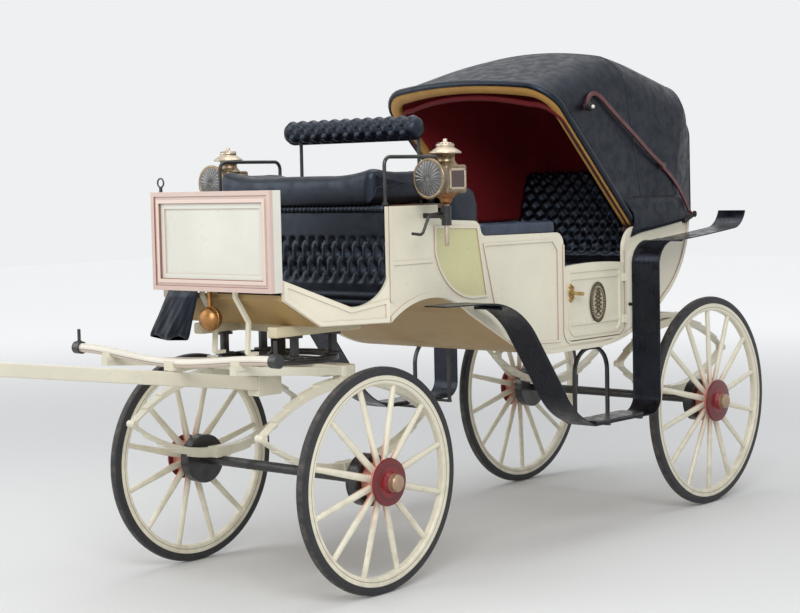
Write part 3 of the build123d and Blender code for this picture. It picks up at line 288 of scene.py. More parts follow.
def hub_paint(name, centre, outward):
    """Dark red flange, brighter red cone, dull brass cap and a black drum inside."""
    surface = Surface(name, 0.34, coat_weight=0.25)
    reach = surface.reach(centre)
    out = surface.times(surface.minus(surface.axis("X"), centre[0]), outward)
    red = surface.mix(surface.ramp(reach, 0.060, 0.078, 1, 0), rgb(104, 12, 20), rgb(128, 18, 26))
    red = surface.mix(surface.band(reach, 0.079, 0.083), red, rgb(60, 12, 16))
    red = surface.mix(surface.times(surface.spots((70, 4, 0.7), 0.6, 0.72), 0.5), red, rgb(70, 52, 44))
    cap = surface.times(surface.ramp(reach, 0.0415, 0.0435, 1, 0), surface.ramp(out, 0.05, 0.06))
    brass = surface.mix(surface.noise(40, 5), rgb(146, 118, 92), rgb(182, 154, 128))
    drum = surface.ramp(out, 0.0, 0.01, 1, 0)
    surface.colour(surface.mix(drum, surface.mix(cap, red, brass), rgb(26, 25, 27)))
    surface.put(surface.shader.inputs["Metallic"], surface.times(cap, 0.45))
    return surface.relief(surface.noise(80, 3), 0.0004, 0.6, 0.002)


def rubber(name, centre, radius):
    """Black rubber tyre with moulded grooves round its sides and dust on its tread."""
    surface = Surface(name, 0.62)
    reach = surface.reach(centre)
    worn = surface.spots((22, 5, 0.65), 0.35, 0.75, 0, 0.5)
    tread = surface.ramp(reach, radius - 0.006, radius - 0.001, 0.15, 1)
    surface.colour(surface.mix(surface.times(worn, tread), rgb(38, 39, 42), rgb(118, 108, 96)))
    outer, inner = (surface.band(reach, radius - deep, radius - deep + 0.003, 0.001) for deep in (0.016, 0.031))
    grain = surface.times(surface.noise(160, 2), 0.12)
    return surface.relief(surface.minus(grain, surface.plus(outer, inner)), 0.002, 0.9, 0.003)


def leather(name, base=rgb(12, 13, 18), roughness=0.36, grain=420, gloss=0.5):
    """Black leather with fine grain, soft creases and a cool shine."""
    surface = Surface(name, roughness, specular_ior_level=gloss, specular_tint=COOL_SHINE)
    surface.colour(surface.mix(surface.spots((5, 4, 0.6), 0.3, 0.7), scaled(base, 0.7), scaled(base, 1.5)))
    surface.rough(roughness - 0.08, roughness + 0.16, 18)
    fine = surface.times(surface.cells(grain), 0.3)
    return surface.relief(surface.plus(fine, surface.noise(22, 5, 0.6)), 0.0016, 0.4)


def iron(name, base=JAPAN_BLACK, roughness=0.36):
    """Japanned iron with worn, rusty specks."""
    surface = Surface(name, roughness, coat_weight=0.2, specular_ior_level=0.6)
    dusty = surface.mix(surface.spots((9, 4), 0.4, 0.75, 0, 0.25), base, rgb(74, 70, 66))
    surface.colour(surface.mix(surface.spots((38, 5, 0.7), 0.64, 0.74, 0, 0.7), dusty, rgb(74, 50, 38)))
    surface.rough(roughness - 0.08, roughness + 0.25, 16)
    return surface.relief(surface.noise(90, 3), 0.0005, 0.5, 0.0012)


FLUTE_PITCH = 0.0295


def fender_paint(name):
    """Patent leather on iron, in lengthwise flutes between two rolled edges."""
    surface = Surface(name, 0.26, specular_ior_level=0.42, specular_tint=PATENT_SHINE)
    across = surface.minus(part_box("fenders")[1].x, surface.span("X"))
    flutes = surface.math("ABSOLUTE", surface.math("SINE", surface.times(across, pi / FLUTE_PITCH)))
    rolls = surface.plus(surface.band(across, -0.01, 0.008, 0.001), surface.band(across, 0.169, 0.19, 0.001))
    surface.colour(surface.mix(surface.spots((12, 5, 0.65), 0.5, 0.8, 0, 0.22), rgb(13, 13, 17), rgb(46, 46, 52)))
    surface.rough(0.20, 0.42, 14)
    height = surface.plus(surface.times(flutes, 0.18), rolls)
    return surface.relief(surface.plus(height, surface.times(surface.noise(14, 3), 0.5)), 0.0022, 0.8, 0.0015)


def body_iron_paint(name):
    """Black stays in front, and cream on the parts under the body's sides."""
    surface = Surface(name, 0.34, coat_weight=0.25)
    cream = surface.times(surface.ramp(surface.span("X"), 0.25, 0.26, 1, 0),
                          surface.ramp(surface.axis("Y"), at(-0.20), at(-0.19), 1, 0))
    surface.colour(weathered(surface, surface.mix(cream, JAPAN_BLACK, CREAM), 1.2, 0.25))
    surface.rough(0.28, 0.5, 14)
    return surface.relief(surface.noise(80, 3), 0.0004, 0.5, 0.0012)


def metal(name, base, roughness=0.28, dark=0.55):
    """Old polished metal with tarnish in patches."""
    surface = Surface(name, roughness, metallic=1.0)
    surface.colour(surface.mix(surface.spots((16, 5, 0.65), 0.35, 0.75), base, scaled(base, dark)))
    surface.rough(roughness - 0.06, roughness + 0.25, 24)
    return surface.relief(surface.noise(60, 3), 0.0004, 0.6, 0.001)


def moulding_paint(name):
    """Raised moulding: cream on its face, with its two side edges lined in dusty pink."""
    surface = Surface(name, 0.32, coat_weight=0.3)
    side = surface.ramp(surface.span("X", surface.normal), 0.55, 0.8, 1, 0)
    surface.colour(surface.mix(side, weathered(surface, CREAM), LINE_PINK))
    return surface.relief(surface.noise(100, 2), 0.0003, 0.5, 0.0006)


def dash_frame_paint(name):
    """Bands of pink and cream that follow the dash's edges inwards."""
    surface = Surface(name, 0.33, coat_weight=0.3)
    low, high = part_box("dash_frame")
    dx = surface.minus(high.x, surface.span("X"))
    off_middle = surface.math("ABSOLUTE", surface.minus(surface.axis("Z"), (low.z + high.z) / 2))
    inset = surface.math("MINIMUM", dx, surface.minus((high.z - low.z) / 2, off_middle))
    colour = surface.mix(surface.noise(7, 4), PINK, scaled(PINK, 0.88))
    for start, end, tone in ((0.0215, 0.024, rgb(150, 104, 92)), (0.036, 0.053, rgb(226, 204, 190)),
                             (0.0535, 0.056, rgb(140, 98, 84)), (0.057, 0.0785, PALE_CREAM)):
        colour = surface.mix(surface.band(inset, start, end), colour, tone)
    surface.colour(surface.mix(surface.spots((34, 4, 0.7), 0.66, 0.7, 0, 0.6), colour, rgb(206, 190, 164)))
    return surface.relief(surface.noise(90, 3), 0.0004, 0.5, 0.001)


def underside_paint(name):
    """Tan floor paint outside and dark carpet inside."""
    surface = Surface(name, 0.5, coat_weight=0.1)
    inside = surface.ramp(surface.axis("Z", surface.normal), -0.05, 0.25)
    outside = surface.mix(surface.spots((6, 5, 0.65), 0.45, 0.8, 0, 0.5), TAN, rgb(138, 112, 70))
    surface.colour(surface.mix(inside, outside, rgb(46, 40, 40)))
    return surface.relief(surface.noise(60, 4), 0.0006, 0.6, 0.001)


def wood(name, base=rgb(96, 66, 42)):
    surface = Surface(name, 0.55)
    grain = surface.noise(18, 6, 0.7, (0.2, 1.6, 1.6))
    surface.colour(surface.mix(surface.ramp(grain, 0.35, 0.7), scaled(base, 0.7), scaled(base, 1.3)))
    return surface.relief(grain, 0.0006, 0.5, 0.001)


BAR_R = 0.022


def bar_paint(name):
    """Cream draught bar with a dark line that follows its dip."""
    surface = Surface(name, 0.34, coat_weight=0.3)
    low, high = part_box("splinter_bar")
    dip = high.z - low.z - 2 * BAR_R
    centre = surface.plus(surface.times(surface.ramp(surface.span("X"), 0.0, high.x), dip), low.z + BAR_R)
    off = surface.minus(surface.axis("Z"), centre)
    base = weathered(surface, rgb(220, 214, 199), 1.4, 0.15)
    base = surface.mix(surface.ramp(off, -0.012, -0.004, 1, 0), base, rgb(206, 188, 170))
    surface.colour(surface.mix(surface.band(off, -0.0065, -0.0035), base, rgb(120, 92, 78)))
    return surface.relief(surface.noise(40, 4), 0.0005, 0.5)


def front_bow_cloth(name):
    """Wood in red cloth where it shows in the hood's mouth, and black outside."""
    surface = Surface(name, 0.7)
    outside = surface.ramp(surface.span("X"), 0.566, 0.568)
    wrapped = surface.mix(surface.ramp(surface.axis("Z"), 2.14, 2.22), BOW_BROWN, rgb(96, 7, 16))
    surface.colour(surface.mix(outside, wrapped, rgb(18, 18, 20)))
    return surface.material


def mottled(name, noise, first, second, roughness, **sockets):
    """Surface of two colours that run into each other."""
    surface = Surface(name, roughness, **sockets)
    surface.colour(surface.mix(surface.noise(*noise), first, second))
    return surface


# Mesh helpers
def make_object(name, vertices, faces, material, smooth=True):
    mesh = bpy.data.meshes.new(name)
    mesh.from_pydata([tuple(v) for v in vertices], [], faces)
    mesh.validate()
    shell = bmesh.new()
    shell.from_mesh(mesh)
    bmesh.ops.recalc_face_normals(shell, faces=shell.faces)
    shell.to_mesh(mesh)
    shell.free()
    mesh.polygons.foreach_set("use_smooth", [smooth] * len(mesh.polygons))
    if material:
        mesh.materials.append(material)
    return linked(name, mesh)


def flat(name, outline, material):
    """One flat face."""
    return make_object(name, outline, [tuple(range(len(outline)))], material, False)


def grid_faces(rows, columns, closed=False, offset=0):
    """Quads between rows of points, with the last column joined to the first where closed."""
    faces = []
    for row in range(rows - 1):
        for column in range(columns if closed else columns - 1):
            here, following = offset + row * columns, (column + 1) % columns
            faces.append((here + column, here + following, here + columns + following, here + columns + column))
    return faces


def skin(name, rows, material):
    """Open sheet over rows of points."""
    points = [point for row in rows for point in row]
    return make_object(name, points, grid_faces(len(rows), len(rows[0])), material)


def ringed(name, rings, material, looped=False):
    """Skin over closed rings of points, capped at both ends, or its last ring joined to its first."""
    steps = len(rings[0])
    last = (len(rings) - 1) * steps
    faces = grid_faces(len(rings), steps, True)
    if looped:
        faces += [(last + n, last + (n + 1) % steps, (n + 1) % steps, n) for n in range(steps)]
    else:
        faces += [tuple(range(steps)), tuple(last + n for n in range(steps))]
    return make_object(name, [point for ring in rings for point in ring], faces, material)


def turned(name, profile, material, steps=48, centre=(0, 0, 0), axis="Z"):
    """Solid turned from (radius, height) points about an upright axis, or about Y or X."""
    looped = profile[0] == profile[-1]
    rings = []
    for radius, height in profile[:-1] if looped else profile:
        ring = []
        for angle in circle(steps):
            a, b = radius * cos(angle), radius * sin(angle)
            ring.append(Vector(centre) + Vector({"Z": (a, b, height), "Y": (a, height, b), "X": (height, a, b)}[axis]))
        rings.append(ring)
    return ringed(name, rings, material, looped)


def rounded_box(name, low, high, radius, material):
    """Upright box with its corners and its top and bottom edges rounded."""
    mid_x, mid_y = (low[0] + high[0]) / 2, (low[1] + high[1]) / 2
    half_x, half_y = (high[0] - low[0]) / 2 - radius, (high[1] - low[1]) / 2 - radius
    tilts = [pi / 8 * n for n in range(5)]
    levels = [(low[2] + radius * (1 - cos(a)), radius * sin(a)) for a in tilts]
    levels += [(high[2] - radius * (1 - cos(a)), radius * sin(a)) for a in reversed(tilts)]
    rings = []
    for z, reach in levels:
        ring = []
        for quarter, (sx, sy) in enumerate(((1, 1), (-1, 1), (-1, -1), (1, -1))):
            for step in range(5):
                angle = pi / 2 * (quarter + step / 4)
                ring.append((mid_x + sx * half_x + reach * cos(angle),
                             mid_y + sy * half_y + reach * sin(angle), z))
        rings.append(ring)
    return ringed(name, rings, material)


def tube(name, points, radius, material, closed=False, resolution=2):
    """Round tube that follows points on a smooth line."""
    curve = bpy.data.curves.new(name, "CURVE")
    curve.dimensions = "3D"
    curve.bevel_depth = radius
    curve.bevel_resolution = resolution
    spline = curve.splines.new("POLY")
    spline.points.add(len(points) - 1)
    for target, point in zip(spline.points, points):
        target.co = (*point, 1)
    spline.use_cyclic_u = closed
    curve.use_fill_caps = True
    source = linked(name + "_line", curve)
    mesh = bpy.data.meshes.new_from_object(source)
    bpy.data.objects.remove(source)
    mesh.materials.clear()
    mesh.materials.append(material)
    mesh.polygons.foreach_set("use_smooth", [True] * len(mesh.polygons))
    return linked(name, mesh)


def join(name, pieces):
    """One object out of several."""
    vertices, faces, materials, indices = [], [], [], []
    for piece in pieces:
        start, mesh = len(vertices), piece.data
        vertices += [piece.matrix_world @ v.co for v in mesh.vertices]
        materials += [material for material in mesh.materials if material not in materials]
        for face in mesh.polygons:
            faces.append(tuple(start + v for v in face.vertices))
            indices.append(materials.index(mesh.materials[face.material_index]))
        bpy.data.objects.remove(piece)
        bpy.data.meshes.remove(mesh)
    mesh = bpy.data.meshes.new(name)
    mesh.from_pydata([tuple(v) for v in vertices], [], faces)
    for material in materials:
        mesh.materials.append(material)
    mesh.polygons.foreach_set("material_index", indices)
    mesh.polygons.foreach_set("use_smooth", [True] * len(mesh.polygons))
    return linked(name, mesh)


def pair(left):
    """The left piece and its mirror image on the right."""
    mesh = left.data.copy()
    mesh.transform(Matrix.Scale(-1, 4, (1, 0, 0)))
    mesh.flip_normals()
    return left, linked(left.name.replace("left", "right"), mesh)


def settle(piece, body, slot, *stands_for):
    """Say which body carries the piece and the nodes that it stands for. The material slot is not used."""
    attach(piece, body)
    if stands_for:
        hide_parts(*stands_for)


SHARP_EDGE = radians(32)
WELD = 0.00002


def edge_shading():
    """Modifier tree for smooth shading that stays sharp at edges."""
    group = bpy.data.node_groups.new("soft_shading", "GeometryNodeTree")
    for in_out in ("INPUT", "OUTPUT"):
        group.interface.new_socket("Geometry", in_out=in_out, socket_type="NodeSocketGeometry")
    start, end, weld, faces, edges, angle, test = (group.nodes.new(kind) for kind in (
        "NodeGroupInput", "NodeGroupOutput", "GeometryNodeMergeByDistance", "GeometryNodeSetShadeSmooth",
        "GeometryNodeSetShadeSmooth", "GeometryNodeInputMeshEdgeAngle", "FunctionNodeCompare"))
    weld.inputs["Distance"].default_value = WELD
    edges.domain = "EDGE"
    edges.inputs["Shade Smooth"].default_value = False
    test.operation = "GREATER_THAN"
    test.inputs[1].default_value = SHARP_EDGE
    for output, socket in (
            (start.outputs[0], weld.inputs["Geometry"]), (weld.outputs["Geometry"], faces.inputs["Geometry"]),
            (faces.outputs["Geometry"], edges.inputs["Geometry"]), (angle.outputs["Unsigned Angle"], test.inputs[0]),
            (test.outputs[0], edges.inputs["Selection"]), (edges.outputs["Geometry"], end.inputs[0])):
        group.links.new(output, socket)
    return group


def dress(material, names):
    """Give carried-over nodes, named in one line, their material and their shading."""
    for name in names.split():
        node = nodes[name]
        node.data.materials.clear()
        node.data.materials.append(material)
        modifier = node.modifiers.new("soft_shading", "NODES")
        modifier.node_group = bpy.data.node_groups.get("soft_shading") or edge_shading()


# Padded and buttoned leather
def rounded_outline(corners):
    """Closed outline of (y, z) points with its corners cut smooth."""
    points = [Vector(c) for c in corners]
    for _ in range(3):
        cut = []
        for point, following in zip(points, points[1:] + points[:1]):
            cut += [point.lerp(following, 0.25), point.lerp(following, 0.75)]
        points = cut
    return points


def resampled(points, count):
    """count points evenly spaced along a closed outline, and the outline's length."""
    looped = points + points[:1]
    lengths = [0.0]
    for point, following in zip(looped, looped[1:]):
        lengths.append(lengths[-1] + (following - point).length)
    total, out, segment = lengths[-1], [], 0
    for step in range(count):
        target = total * step / count
        while lengths[segment + 1] < target:
            segment += 1
        share = (target - lengths[segment]) / max(lengths[segment + 1] - lengths[segment], 1e-9)
        out.append(looped[segment].lerp(looped[segment + 1], share))
    return out, total


def tuft_height(u, v, across, along):
    """Height of diamond tufting, 0 at buttons and low along the pleats between them."""
    p, q = u / across + v / (2 * along), u / across - v / (2 * along)
    s, t = abs(sin(pi * p)), abs(sin(pi * q))
    pillow = (s * t) ** 0.45
    near_p, near_q = p - round(p), q - round(q)
    distance = hypot((near_p + near_q) / 2 * across, (near_p - near_q) * along)
    pit = 1 - exp(-((distance / (0.28 * across)) ** 2))
    return 0.55 * pillow + 0.45 * pit


def drawn_in(edge):
    """How far a rounded end is drawn in, from 1 at its tip (edge 0) to 0 where it is full (edge 1)."""
    return 1 - sqrt(max(0.0, 1 - (1 - min(edge, 1)) ** 2))


TUFT_FADE = 0.03  # share of the outline over which the tufting sets in
RAISED_FROM = 0.45  # share of the half width from which raised ends rise
RAISED_ABOVE = 0.08  # height over the foot from which all of the rise is given
END_BULGE = 0.12  # how far the ends' middle stands out, as a share of their rounding
BUTTON_PROUD = 0.002
EDGE_CLEAR = 0.02  # share of the outline kept free of buttons at both ends of the tufting


def upholster(name, corners, half, material, tuft=None, end_round=0.03, crown=0.0, pleat=None, ends_up=0.0,
              across_steps=150, count=170):
    """Padded bar of leather and the places of its buttons: an outline in (y, z), of count points,
    carried along X from -half to half, its ends rounded over.
    tuft is (button spacing across, row spacing, depth, first, last), the last two as shares of the outline.
    pleat is (spacing, depth) of gathers across the bar, and ends_up is how far its ends rise."""
    outline, length = resampled(rounded_outline(corners), count)
    area = sum(a.x * b.y - b.x * a.y for a, b in zip(outline, outline[1:] + outline[:1]))
    normals = []
    for number in range(count):
        run = outline[(number + 1) % count] - outline[number - 1]
        normals.append(Vector((run.y, -run.x)).normalized() * (1 if area > 0 else -1))
    floor = min(point.y for point in outline)

    def rise(x):
        return ends_up * max(0, abs(x) / half - RAISED_FROM) ** 2 / 0.3

    rings, buttons = [], []
    for row in range(across_steps + 1):
        x = -half + 2 * half * row / across_steps
        edge = min(x + half, half - x) / end_round
        swell = crown * (1 - (x / half) ** 2)
        ring = []
        for column in range(count):
            lift = swell - drawn_in(edge) * end_round
            if pleat:
                lift -= pleat[1] * (1 - abs(sin(pi * x / pleat[0])) ** 0.6)
            if tuft:
                across, along, depth, first, last = tuft
                share = column / count
                window = (min(max((share - first) / TUFT_FADE, 0), 1) * min(max((last - share) / TUFT_FADE, 0), 1)
                          * min(max(edge * 0.9, 0), 1))
                lift += window * depth * (tuft_height(x, (share - first) * length, across, along) - 1)
            place = outline[column] + normals[column] * lift
            ring.append(Vector((x, place.x, place.y + rise(x) * min(1, (place.y - floor) / RAISED_ABOVE))))
        rings.append(ring)
    for end, outward in ((0, -1), (-1, 1)):
        middle = sum(rings[end], Vector()) / count
        caps = [[middle + (point - middle) * share + Vector((outward * end_round * END_BULGE * (1 - share), 0, 0))
                 for point in rings[end]] for share in (0.86, 0.62, 0.36, 0.10)]
        rings = caps[::-1] + rings if end == 0 else rings + caps
    piece = ringed(name, rings, material)
    if tuft:
        full = half - end_round
        reach = int(full / across) + 1
        for row in range(int((last - first) * length / along) + 1):
            share = first + row * along / length
            if share > last - EDGE_CLEAR or share < first + EDGE_CLEAR:
                continue
            spot, normal = (line[int(share * count) % count] for line in (outline, normals))
            for number in range(-reach, reach + 1):
                x = (number + (row % 2) / 2) * across
                if abs(x) > full:
                    continue
                lift = crown * (1 - (x / half) ** 2) - depth + BUTTON_PROUD
                buttons.append((Vector((x, spot.x + normal.x * lift, spot.y + normal.y * lift + rise(x))),
                                Vector((0, normal.x, normal.y))))
    return piece, buttons


BUTTON_R = 0.008
BUTTON_RISE = 0.55  # height of the dome, as a share of its radius


def make_buttons(name, places, material):
    """Small domed buttons, each at a place with its outward direction."""
    vertices, faces = [], []
    rings, steps = 3, 8
    for place, outward in places:
        side = Vector((1, 0, 0))
        other = outward.cross(side)
        start = len(vertices)
        for ring in range(rings):
            tilt = pi / 2 * ring / rings
            for angle in circle(steps):
                vertices.append(place + (side * cos(angle) + other * sin(angle)) * BUTTON_R * cos(tilt)
                                + outward * BUTTON_R * BUTTON_RISE * sin(tilt))
        vertices.append(place + outward * BUTTON_R * BUTTON_RISE)
        faces += grid_faces(rings, steps, True, start)
        last = start + (rings - 1) * steps
        faces += [(last + n, last + (n + 1) % steps, start + rings * steps) for n in range(steps)]
    return make_object(name, vertices, faces, material)


def seat_on(piece, node):
    settle(piece, BODY, "black_leather", node)


SEAT_FOOT, SEAT_TOP = 1.3455, 1.457
BACK_PAD = 0.088, 0.05  # spacing of the buttons on the seat backs, across and between rows


def make_upholstery(hide):
    """Every padded piece of the seats, set in the space that its CAD solid holds.
    The outlines start at the front foot and run up the front, over the top and down the back."""

    def cushion(name, node, half, corners, tuft=None, **options):
        piece, buttons = upholster(name, corners, half, hide, tuft, **options)
        seat_on(piece, node)
        if buttons:
            settle(make_buttons(name + "_buttons", buttons, hide), BODY, "black_leather")

    y0, y1 = at(0.126), at(0.586)
    cushion("driver_cushion_leather", "cushions", 0.52,
            [(y0 + 0.014, 1.7905), (y0 - 0.004, 1.806), (y0 - 0.008, 1.85), (y0 - 0.006, 1.90), (y0 + 0.022, 1.928),
             (y0 + 0.08, 1.926), (y0 + 0.13, 1.914), (y1 - 0.08, 1.918), (y1, 1.902), (y1, 1.7905)],
            (0.21, 0.12, 0.012, 0.22, 0.52), end_round=0.05, crown=0.006, ends_up=0.045)
    for end, front, back in (("front", 0.806, 1.15), ("rear", 2.10, 2.50)):
        y0, y1 = at(front), at(back)
        cushion(end + "_seat_leather", "cushions", 0.56,
                [(y0, SEAT_FOOT), (y0, SEAT_TOP), (y1, SEAT_TOP), (y1, SEAT_FOOT)],
                (0.11, 0.055, 0.022, 0.16, 0.66), end_round=0.045)
    y0, y1 = at(0.6205), at(0.806)
    cushion("front_squab_leather", "squabs", 0.552,
            [(y0, 1.405), (y0, 1.80), (y0 + 0.02, 1.862), (y0 + 0.10, 1.882), (y1 + 0.045, 1.872), (y1 + 0.088, 1.82),
             (y1 + 0.100, 1.71), (y1 + 0.080, 1.57), (y1 + 0.015, 1.475), (y1 - 0.01, 1.405)],
            (*BACK_PAD, 0.03, 0.04, 0.97), end_round=0.06)
    back = ((2.535, 1.392), (2.52, 1.44), (2.54, 1.60), (2.622, 1.90), (2.66, 1.945), (2.70, 1.948), (2.728, 1.91),
            (2.728, 1.66), (2.645, 1.405))
    cushion("rear_squab_leather", "squabs", 0.496, [(at(station), z) for station, z in back],
            (*BACK_PAD, 0.034, 0.03, 0.56), end_round=0.05)
    low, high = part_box("kick_panel")
    cushion("kick_panel_leather", "kick_panel", high.x,
            [(low.y + 0.016, low.z), (low.y + 0.008, low.z + 0.02), (low.y + 0.008, high.z - 0.02),
             (low.y + 0.016, high.z), (high.y, high.z), (high.y, low.z)],
            (0.066, 0.072, 0.026, 0.105, 0.335), end_round=0.02)
    for name, z, radius, ahead, pleat in (("kick_top_roll", high.z - 0.016, 0.018, 0.004, (0.027, 0.007)),
                                          ("kick_low_roll", low.z + 0.052, 0.024, 0.016, None),
                                          ("kick_foot_roll", low.z + 0.016, 0.022, 0.006, None)):
        cushion(name, "kick_panel", high.x - 0.004,
                [(low.y + ahead - radius * sin(a), z + radius * cos(a)) for a in circle(12)],
                end_round=0.012, pleat=pleat, across_steps=240, count=24)
    low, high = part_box("driver_roll")
    mid_y, mid_z, radius = (low.y + high.y) / 2, (low.z + high.z) / 2, (high.z - low.z) / 2 - 0.001
    cushion("driver_roll_leather", "driver_roll", high.x,
            [(mid_y + radius * 1.02 * sin(a), mid_z - radius * 1.02 * cos(a)) for a in circle(14)],
            (0.075, 0.045, 0.018, 0.04, 0.96), end_round=0.05)


PAD_ROWS, PAD_COLUMNS = 60, 40
PAD_HALF_X, PAD_HALF_Z, PAD_INSET = 0.048, 0.043, 0.051
PAD_END, PAD_PULL = 0.04, 0.03
PAD_SQUARENESS = 0.6
GATHER_DEPTH, GATHER_PITCH = 0.0022, 0.028


def make_armrests(hide):
    """Padded tops along both sides of the front seat, drawn down to a welt."""
    low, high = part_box("side_pads")
    rings = []
    for row in range(PAD_ROWS + 1):
        y = low.y + (high.y - low.y) * row / PAD_ROWS
        pull = drawn_in(min(y - low.y, high.y - y) / PAD_END) * PAD_PULL
        gather = GATHER_DEPTH * abs(sin(pi * (y - low.y) / GATHER_PITCH))
        ring = []
        for angle in circle(PAD_COLUMNS):
            cx, cz = cos(angle), sin(angle)
            x = high.x - PAD_INSET + (PAD_HALF_X - pull) * copysign(abs(cx) ** PAD_SQUARENESS, cx)
            z = (low.z + high.z) / 2 + (PAD_HALF_Z - pull) * copysign(abs(cz) ** PAD_SQUARENESS, cz)
            sink = gather * (1 if cz < 0.4 else 0.2)
            ring.append((x - cx * sink, y, z - cz * sink))
        rings.append(ring)
    for pad in pair(ringed("armrest_leather_left", rings, hide)):
        seat_on(pad, "side_pads")


def make_apron(hide):
    """Rolled leather apron that hangs in folds under the dash."""
    low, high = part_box("apron")
    rows, columns, below, half_depth = 44, 96, 0.040, 0.021
    rings = []
    for v in (row / rows for row in range(rows + 1)):
        z = high.z - (high.z - low.z + below) * v
        left, right = -0.296 - 0.145 * v, -0.086 - 0.082 * v
        closing = sqrt(max(0.0, 1 - max(0.0, (v - 0.86) / 0.14) ** 2)) * min(1, 0.35 + v * 6)
        ring = []
        for angle in circle(columns):
            fold = (sin(5 * angle + 2.5 * v + 0.4) + 0.6 * sin(9 * angle - 5 * v)
                    + 0.35 * sin(17 * angle + 9 * v))
            swell = 1 + 0.15 * fold * (0.35 + v)
            x = ((left + right) / 2 + (right - left) / 2 * cos(angle)
                 * (0.90 + 0.10 * swell) * (0.93 + 0.07 * closing))
            y = (low.y + high.y) / 2 + half_depth * sin(angle) * swell * closing * (0.6 + 0.5 * v)
            sag = 0.010 * sin(3.2 * (x - left) / (right - left) * pi) * v * v
            ring.append((x, y, z + sag + 0.008 * v))
        rings.append(ring)
    seat_on(ringed("apron_leather", rings, hide), "apron")


# Fittings of the fore carriage and the doors
def make_gong(material):
    """Domed gong on its stalk under the dash."""
    low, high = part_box("gong")
    reach, half, thick = 0.058, 0.050, 0.009
    centre = Vector(((low.x + high.x) / 2 - 0.030, low.y + half, low.z + 0.046))
    rings = []
    for tilt in (pi * n / 24 for n in range(1, 24)):
        out = reach * sin(tilt) ** 0.9
        rings.append([centre + Vector((out * cos(a), -half * cos(tilt), out * sin(a)))
                      for a in circle(48)])
    rim = reach * 0.985
    bead = [centre + Vector((rim * cos(a), 0, rim * sin(a))) for a in circle(48)]
    settle(join("gong_brass", [
        ringed("dome", rings, material), tube("bead", bead, 0.0035, material, True),
        rounded_box("stalk", (centre.x - thick, centre.y - thick, centre.z),
                    (centre.x + thick, centre.y + thick, high.z), 0.003, material)]), BODY, "brass", "gong")


def make_turntable(timber, black):
    """Upper ring of the turntable, with the thin timbers that it carries on forged stands."""
    low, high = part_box("turntable_upper")
    centre_y, ring_top, timber_foot = (low.y + high.y) / 2, low.z + 0.014, high.z - 0.052

    def block(x, y, half_x, half_y, foot, top, radius, material=black):
        return rounded_box("block", (x - half_x, y - half_y, foot), (x + half_x, y + half_y, top), radius, material)

    boss_top = timber_foot - low.z
    irons = [turned(name, profile, black, steps, (0, centre_y, low.z)) for name, steps, profile in (
        ("ring", 96, [(0.25, 0), (0.29, 0), (0.29, 0.014), (0.25, 0.014), (0.25, 0)]),
        ("boss", 48, [(0.019, 0), (0.054, 0), (0.054, 0.02), (0.036, 0.03), (0.036, boss_top), (0.019, boss_top),
                      (0.019, 0)]))]
    irons.append(block(0, centre_y, 0.27, 0.02, low.z, ring_top, 0.003))
    for side in SIDES:
        for end in SIDES:
            x, y = side * 0.2367, centre_y + end * 0.13
            irons += [block(x, y, 0.026, 0.04, ring_top - 0.001, ring_top + 0.012, 0.004),
                      block(x, y, 0.014, 0.02, ring_top, timber_foot + 0.002, 0.006),
                      block(x, y, 0.026, 0.034, timber_foot - 0.014, timber_foot, 0.004)]
    timbers = [block(0, centre_y, 0.24, 0.04, timber_foot, high.z, 0.006, timber)]
    for x in (0.25, -0.25):
        timbers.append(rounded_box("timber", (x - 0.030, low.y, timber_foot), (x + 0.030, high.y, high.z), 0.008,
                                   timber))
    settle(join("turntable_irons", irons), BODY, "black_iron", "turntable_upper")
    settle(join("turntable_timbers", timbers), BODY, "cream_paint", "turntable_upper")


def on_doors(left):
    """Set a brass fitting on the left door and its mirror image on the right one."""
    for piece, door in zip(pair(left), ("left_door", "right_door")):
        settle(piece, door, "brass")


def make_handle_plates(brass):
    """Cast plate with two lobes behind each door handle."""
    low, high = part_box("handle_left")
    x, y, z = low.x, low.y + 0.018, (low.z + high.z) / 2
    lobe = [(0.0, 0.0), (0.015, 0.0), (0.015, 0.002), (0.010, 0.005), (0.0, 0.006)]
    parts = [turned("lobe", lobe, brass, 24, (x, y + ahead, z + up), "X") for ahead, up in (
        (0, 0.034), (0, -0.034), (0.014, 0.018), (0.014, -0.018), (0, 0.012), (0, -0.012))]
    for side in SIDES:
        curl = [(x + 0.004, y + 0.004 + 0.022 * sin(t * 3.0), z + side * (0.006 + 0.034 * t))
                for t in (n / 12 for n in range(13))]
        parts.append(tube("curl", curl, 0.0035, brass))
    on_doors(join("handle_plate_left", parts))


# Hood
PIVOT = Vector(joints["hood_front_bow_fold"]["pos_m"])
# columns: foot station, foot height, top station, top height, half width, corner radius
HOOD_BOWS = [
    (2.212, 1.648, 1.398, 2.424, 0.588, 0.150),
    (2.330, 1.648, 2.110, 2.600, 0.572, 0.150),
    (2.600, 1.656, 2.790, 2.452, 0.572, 0.150),
    (2.890, 1.690, 2.880, 2.340, 0.526, 0.150),
]
HOOD_CROWN = 0.070
HOOD_SAG = 0.008
HOOD_TIGHTNESS = 0.3  # share of a straight line between the bows in the leather's curve
HOOD_STILL = 0.10  # angle at the pivot below which the leather stays with the body
ARCH_STEPS = 96
STEPS_BETWEEN = 14


